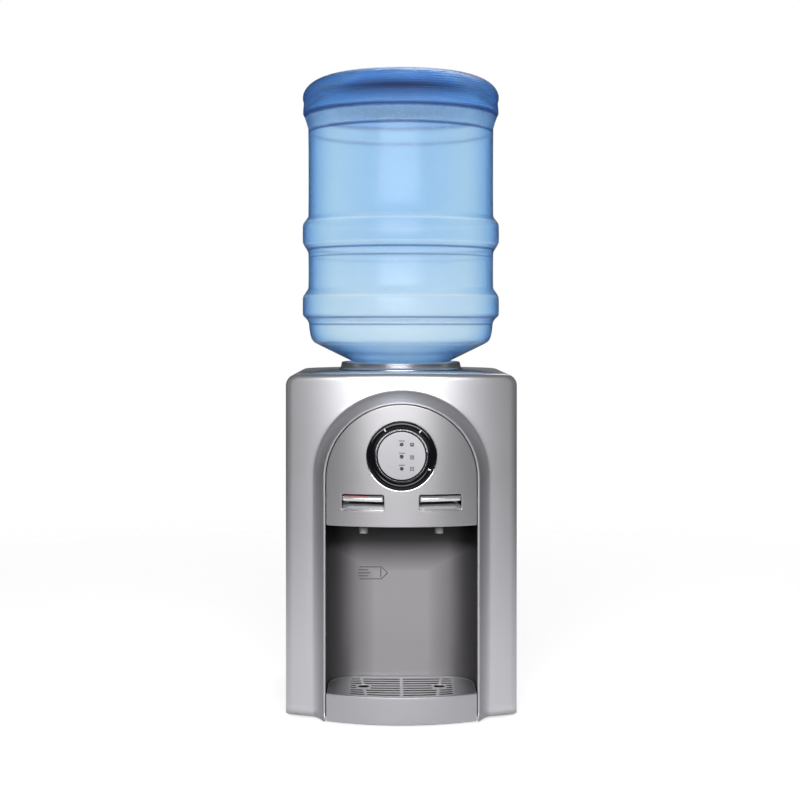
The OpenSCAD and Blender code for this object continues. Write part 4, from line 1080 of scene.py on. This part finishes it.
def keptNodes():
    # the CAD's own shapes stay for pieces whose form is already right, with a bevel and a real finish
    plan = {
        "side_panel_left": ("steelPaint", 0.0004), "side_panel_right": ("steelPaint", 0.0004),
        "rear_panel": ("rearPaint", 0.0003), "panel_screws": ("steel", 0.0002), "base_pan": ("dark", 0.0004),
        "seat_gasket": ("silicone", 0.0002), "probe_tube": ("white", 0.0002),
        "cold_tank": ("stainless", 0.0003), "tank_baffle": ("white", 0.0003),
        "cold_block": ("aluminium", 0.0003), "heat_sink": ("aluminium", 0.0002),
        "fan_frame": ("black", 0.0004), "fan_rotor": ("black", 0.0002), "hot_tank": ("stainless", 0.0003),
        "heater_band": ("brass", 0.0003), "hot_tank_thermostats": ("black", 0.0003),
        "water_pipes": ("silicone", 0), "hot_tap_body": ("tapWhite", 0.0003),
        "cold_tap_body": ("tapWhite", 0.0003),
        "hot_tap_valve": ("redSilicone", 0.0002), "cold_tap_valve": ("blueSilicone", 0.0002),
        "hot_tap_spring": ("steel", 0), "cold_tap_spring": ("steel", 0), "lever_pins": ("steel", 0.0002),
        "switch_housings": ("black", 0.0004), "heating_switch": ("rockerRed", 0.0005),
        "cooling_switch": ("rockerGreen", 0.0005), "cord_gland": ("rubber", 0.0004),
        "drain_plug": ("rubber", 0.0005), "cap_plug": ("white", 0.0003),
        "rubber_feet": ("rubber", 0.0005), "foam_shell": ("foam", 0.0006),
        "peltier_module": ("ceramic", 0.0002), "hot_tank_jacket": ("wool", 0.0006),
        "indicator_board": ("board", 0.0001), "power_board": ("board", 0.0002),
    }
    for node, (finish, bevel) in plan.items():
        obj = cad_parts[node]
        obj.data.materials.clear()
        obj.data.materials.append(finishes[finish].material)
        if bevel:
            softened(obj, bevel, 2, 40)


def foam():
    beads = Finish("beadedFoam", (0.88, 0.88, 0.84), 0.85)
    cell = beads.cells(420)
    gap = beads.cells(420, "DISTANCE_TO_EDGE")
    beads.put("Base Color", beads.mixed((gap * 9).clamped(), (0.68, 0.68, 0.63), (0.92, 0.92, 0.89)))
    beads.put("Roughness", 0.8 + 0.15 * cell)
    beads.bump(gap, 0.7, 0.0006)
    return beads


def wool():
    wrap = Finish("woolWrap", (0.80, 0.74, 0.56), 0.95, Sheen_Weight=0.4)
    fibre = wrap.noise(260, 5.0, 0.75, stretch=(1, 1, 0.25))
    tuft = wrap.noise(45, 3.0)
    wrap.put("Base Color", wrap.mixed(fibre, (0.58, 0.50, 0.33), (0.90, 0.86, 0.72)))
    wrap.put("Roughness", 0.85 + 0.12 * tuft)
    wrap.bump(fibre * 0.7 + tuft * 0.6, 0.9, 0.0015)
    return wrap


def board():
    plate = Finish("circuitBoard", (0.02, 0.16, 0.06), 0.3, Coat_Weight=0.3)
    bricks = {"Vector": plate.spot(), "Scale": 240.0, "Mortar Size": 0.035, "Color1": (0.015, 0.15, 0.055),
              "Color2": (0.02, 0.18, 0.07), "Mortar": (0.06, 0.32, 0.15)}
    tracks = plate.node("ShaderNodeTexBrick", {"offset": 0.37, "squash": 1.0}, bricks)
    plate.put("Base Color", tracks)
    plate.put("Roughness", 0.25 + 0.2 * plate.noise(300, 2.0))
    plate.bump(plate.noise(500, 2.0), 0.1, 0.0001)
    return plate


def tapWhite():
    milky = Finish("tapWhite", (0.80, 0.80, 0.79), 0.28, Subsurface_Weight=0.25, Subsurface_Scale=0.004)
    cloud = milky.noise(60, 3.0)
    milky.put("Base Color", milky.mixed(cloud, (0.70, 0.70, 0.69), (0.86, 0.86, 0.85)))
    milky.put("Roughness", 0.22 + 0.12 * cloud)
    milky.bump(milky.noise(220, 2.0), 0.08, 0.0001)
    return milky


finishes["foam"] = foam()
finishes["wool"] = wool()
finishes["board"] = board()
finishes["tapWhite"] = tapWhite()
finishes["ceramic"] = grainedPlastic("whiteCeramic", (0.86, 0.86, 0.83), 0.3, 900, 0.00004)
topCover()
keptNodes()
print("covers and inner parts made")


# the bay's grey, its painted shade colour, and the heights and widths over which the painted shade falls
baySet = {"corner": 0.040, "wall": 0.0025, "ceilingEdge": 0.006,
          "light": (0.42, 0.40, 0.42), "shadeColour": (0.022, 0.021, 0.024),
          "shadeTop": (0.180, 0.222), "shadeSide": (0.035, 0.092)}


def bayFinish():
    # painted shade: the moulding is painted darker into its corners and under the ceiling, where shade falls
    grey = Finish("bayGrey", baySet["light"], 0.4, 0.35)
    x, _, z = grey.axes()
    low, high = baySet["shadeTop"]
    under = ((z - low) / (high - low)).clamped()
    near, far = baySet["shadeSide"]
    aside = ((x.absolute() - near) / (far - near)).clamped()
    fine = grey.noise(1100, 2.0)
    cloud = grey.noise(9, 2.0)
    # how much painted shade each place gets
    depth = under.atLeast(aside * 0.76) ** 0.8
    tint = grey.mixed(cloud * 0.4 + fine * 0.2, baySet["light"], tuple(c * 0.9 for c in baySet["light"]))
    grey.put("Base Color", grey.mixed(depth, tint, baySet["shadeColour"]))
    grey.put("Roughness", 0.36 + 0.06 * cloud + 0.05 * fine)
    grey.bump(fine, 0.12, 0.00008)
    return grey


finishes["bay"] = bayFinish()
finishes["mark"] = grainedPlastic("guideGrey", (0.09, 0.085, 0.09), 0.45)


def bayOutline(half, corner, rear, frontY, steps=12):
    left = [(-half, frontY + (rear - corner - frontY) * k / 14) for k in range(14)]
    loop = left + list(reversed(arcPoints(-half + corner, rear - corner, corner, 90, 180, steps)))
    loop += list(reversed(arcPoints(half - corner, rear - corner, corner, 0, 90, steps)))
    loop += [(half, frontY + (rear - corner - frontY) * k / 14) for k in range(13, -1, -1)]
    return loop


def bayLiner():
    low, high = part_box("bay_liner")
    wall = baySet["wall"]
    half = high.x - wall
    rear = high.y - wall
    top = high.z - wall
    edge = baySet["ceilingEdge"]
    rows = []
    for z in [low.z + (top - edge - low.z) * k / 24 for k in range(25)]:
        rows.append([(x, y, z) for x, y in bayOutline(half, baySet["corner"], rear, low.y)])
    for a in (18, 36, 54, 72, 90):
        g = edge * (1 - math.cos(math.radians(a)))
        z = top - edge + edge * math.sin(math.radians(a))
        rows.append([(x, y, z) for x, y in bayOutline(half - g, baySet["corner"] - g, rear - g, low.y)])
    walls = loft("bayWalls", rows, "bay", angle=60)
    outward(walls, Vector((0, -0.08, 0.15)))
    walls.data.flip_normals()
    solid = walls.modifiers.new("wall", "SOLIDIFY")
    solid.thickness = wall - 0.0002
    solid.offset = -1
    stands(walls, "cabinet", "bay_grey", "bay_liner")
    # ceiling with a hole for each spout
    outline = [(x, y) for x, y in bayOutline(half - edge + 0.001, baySet["corner"] - edge + 0.001,
                                             rear - edge + 0.001, low.y)]
    holes = [arcPoints(s * tapX, tapY, 0.007, 0, 360, 40)[:-1] for s in (-1, 1)]
    roof = sheetOf("bayCeiling", [outline] + holes, wall - 0.0004, 0.0003, "bay",
                   lambda u, v, w: (u, v, top + wall / 2 + w))
    stands(roof, "cabinet", "bay_grey")


def guideMark():
    # thin raised tag outline on the bay's rear wall, with two bars at its tail
    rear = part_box("bay_liner")[1].y - baySet["wall"]
    left, base, length, height, line = -0.057, 0.170, 0.039, 0.016, 0.0009

    def ribbon(name, path):
        oneSide, otherSide = [], []
        for i, p in enumerate(path):
            before, after = path[max(i - 1, 0)], path[min(i + 1, len(path) - 1)]
            d = Vector((after[0] - before[0], after[1] - before[1])).normalized()
            n = Vector((-d.y, d.x)) * line / 2
            oneSide.append((p[0] + n.x, p[1] + n.y))
            otherSide.append((p[0] - n.x, p[1] - n.y))
        made = sheetOf(name, [oneSide + list(reversed(otherSide))], 0.0009, 0.0003, "mark",
                       lambda u, v, w: (u, rear - 0.0003 - w, v))
        stands(made, "cabinet", "bay_grey")

    tip, right, middle = left + length, left + length - height / 2, base + height / 2
    outline = [(left + 0.002, base), (right, base), (tip - 0.0005, middle - 0.0006), (tip, middle),
               (tip - 0.0005, middle + 0.0006), (right, base + height), (left + 0.002, base + height)]
    ribbon("guideTag", outline)
    for k in (1, 2, 3):
        z = base + height * k / 4
        ribbon(f"guideBar{k}", [(left, z), (left + length * (0.42 if k == 2 else 0.34), z)])
    ribbon("guideStop", [(right - 0.001, base + 0.002), (right - 0.001, base + height - 0.002)])


traySet = {"wall": 0.0038, "rim": 0.0017, "lip": 0.0032, "radius": 0.039, "floor": 0.0093, "edge": 0.0012,
           "chin": -0.136}


def trayLoop(inset=0.0, steps=24, corner=10):
    half = (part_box("drip_tray")[1].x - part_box("drip_tray")[0].x) / 2 - inset
    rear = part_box("drip_tray")[1].y - inset
    r, bow = traySet["radius"] - inset, face["bow"] - inset
    a = math.degrees(math.asin(half / bow))
    loop = arcPoints(0, face["bowCentre"], bow, 270 - a, 270 + a, steps)
    side = [(half, loop[-1][1] + (rear - r - loop[-1][1]) * k / 6) for k in range(1, 6)]
    loop += side + arcPoints(half - r, rear - r, r, 0, 90, corner)
    loop += arcPoints(-half + r, rear - r, r, 90, 180, corner)
    loop += [(-x, y) for x, y in reversed(side)]
    return loop


def dripTray():
    low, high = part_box("drip_tray")
    top, floor, foot = high.z, traySet["floor"], low.z + 0.0022
    wall, rim, lip, edge = traySet["wall"], traySet["rim"], traySet["lip"], traySet["edge"]
    levels = [(0.0012, low.z), (0.0002, low.z + 0.0010), (0.0, foot)]  # inset and height, from the foot up
    levels += [(0.0, foot + (top - edge - foot) * k / 8) for k in range(1, 9)]
    for a in (22, 45, 68, 90):
        c, s = math.cos(math.radians(a)), math.sin(math.radians(a))
        levels.append((edge * (1 - c), top - edge + edge * s))
    levels += [(rim, top), (rim + 0.0003, top - 0.0003), (rim + 0.0003, top - lip), (wall, top - lip)]
    levels += [(wall, floor + 0.004), (wall + 0.0006, floor + 0.0028), (wall + 0.002, floor + 0.002)]
    rows = []
    for inset, z in levels:  # behind its chin the tray's underside lies at the floor's height
        rows.append([(x, y, floor if y > traySet["chin"] and z < floor else z) for x, y in trayLoop(inset)])
    tray = loft("dripTray", [r + [r[0]] for r in rows], "tray", angle=48)
    shape = bmesh.new()
    shape.from_mesh(tray.data)
    bmesh.ops.remove_doubles(shape, verts=shape.verts, dist=1e-6)
    bmesh.ops.holes_fill(shape, edges=[e for e in shape.edges if e.is_boundary], sides=0)
    bmesh.ops.recalc_face_normals(shape, faces=shape.faces)
    shape.to_mesh(tray.data)
    shape.free()
    tray.data.polygons.foreach_set("use_smooth", [True] * len(tray.data.polygons))
    tray.data.set_sharp_from_angle(angle=math.radians(40))
    stands(tray, "drip_tray", "silver_moulding", "drip_tray")


def bowedSlot(r, cy, x0, x1, width, steps=10):
    # one slot between x0 and x1, following a bow of radius r round (0, cy), with round ends
    half = width / 2
    mid = r - half
    first, last = math.asin((x0 + half) / mid), math.asin((x1 - half) / mid)

    def at(a, off):
        return ((mid + off) * math.sin(a), cy - (mid + off) * math.cos(a))

    def roundEnd(a, turn):
        x, y = at(a, 0)
        start = math.degrees(a) - 90 + turn
        return arcPoints(x, y, half, start, start + 180, 8)[1:-1]

    low = [at(first + (last - first) * k / steps, half) for k in range(steps + 1)]
    high = [at(last + (first - last) * k / steps, -half) for k in range(steps + 1)]
    return low + roundEnd(last, 0) + high + roundEnd(first, 180)


# the grille's grey, its painted shade colour, and where the painted darkening of its ends begins and ends
grilleSet = {"light": (0.86, 0.86, 0.88), "shadeColour": (0.006, 0.006, 0.007), "shadeSide": (0.064, 0.088)}


def grilleFinish():
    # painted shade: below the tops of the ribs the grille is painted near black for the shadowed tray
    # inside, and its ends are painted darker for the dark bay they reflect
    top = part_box("drip_grille")[1].z
    grey = Finish("grilleGrey", grilleSet["light"], 0.4, 0.5)
    x, _, z = grey.axes()
    below = (((top - 0.0003) - z) / 0.0002).clamped()
    near, far = grilleSet["shadeSide"]
    aside = ((x.absolute() - near) / (far - near)).clamped()
    fine = grey.noise(900, 2.0)
    tint = grey.mixed(fine, tuple(c * 0.92 for c in grilleSet["light"]), grilleSet["light"])
    grey.put("Base Color", grey.mixed(below.atLeast(aside * 0.6), tint, grilleSet["shadeColour"]))
    grey.put("Roughness", 0.38 + 0.06 * fine)
    grey.bump(fine, 0.12, 0.00008)
    return grey


finishes["grille"] = grilleFinish()


def dripGrille():
    low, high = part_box("drip_grille")
    thick = high.z - low.z
    mid = (low.z + high.z) / 2
    loops = [trayLoop(0.0024, 40, 12)]
    hole, rimR, ribHalf, spineHalf = 0.0072, 0.0096, 0.0015, 0.0016
    reach, slots, width = 0.066, 8, 0.0064
    lean = math.tan(math.radians(5))  # the ribs lean outwards a little towards the rear
    for s in (-1, 1):
        loops.append(arcPoints(s * tapX, tapY, hole, 0, 360, 48)[:-1])
    for i in range(slots):
        r = 0.230 + 0.095 * i
        cy = -0.153 + 0.012 * i + r
        yMid = cy - math.sqrt((r - width / 2) ** 2 - tapX ** 2)
        near = abs(yMid - tapY)
        gap = ribHalf
        if near < rimR + width / 2:
            gap = max(ribHalf, math.sqrt(max(rimR ** 2 - max(near - width / 2, 0) ** 2, 0)))
        centre = tapX if gap > ribHalf * 1.5 else tapX + (yMid - tapY) * lean
        for x0, x1 in ((-reach, -centre - gap), (-centre + gap, -spineHalf), (spineHalf, centre - gap),
                       (centre + gap, reach)):
            if x1 - x0 > 0.003:
                loops.append(bowedSlot(r, cy, x0, x1, width))
    plate = sheetOf("dripGrille", loops, thick, 0.0007, "grille", lambda u, v, w: (u, v, mid + w), angle=40)
    stands(plate, "drip_grille", "grille_grey", "drip_grille")
    # a raised rim round each hole
    lip = [(0.0074, -0.0004), (0.0077, 0.0003), (0.0086, 0.0004), (0.0094, -0.0001), (0.0094, -0.0006)]
    for s, name in ((-1, "rimLeft"), (1, "rimRight")):
        ring = turned(name, lip, (s * tapX, tapY, high.z), "grille", 48, "Z")
        stands(ring, "drip_grille", "grille_grey")


bayLiner()
guideMark()
dripTray()
dripGrille()
print("bay, tray and grille made")

for place, bounds in (("cad", cadBox), ("built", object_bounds())):
    print(place, [[round(c, 4) for c in corner] for corner in bounds])
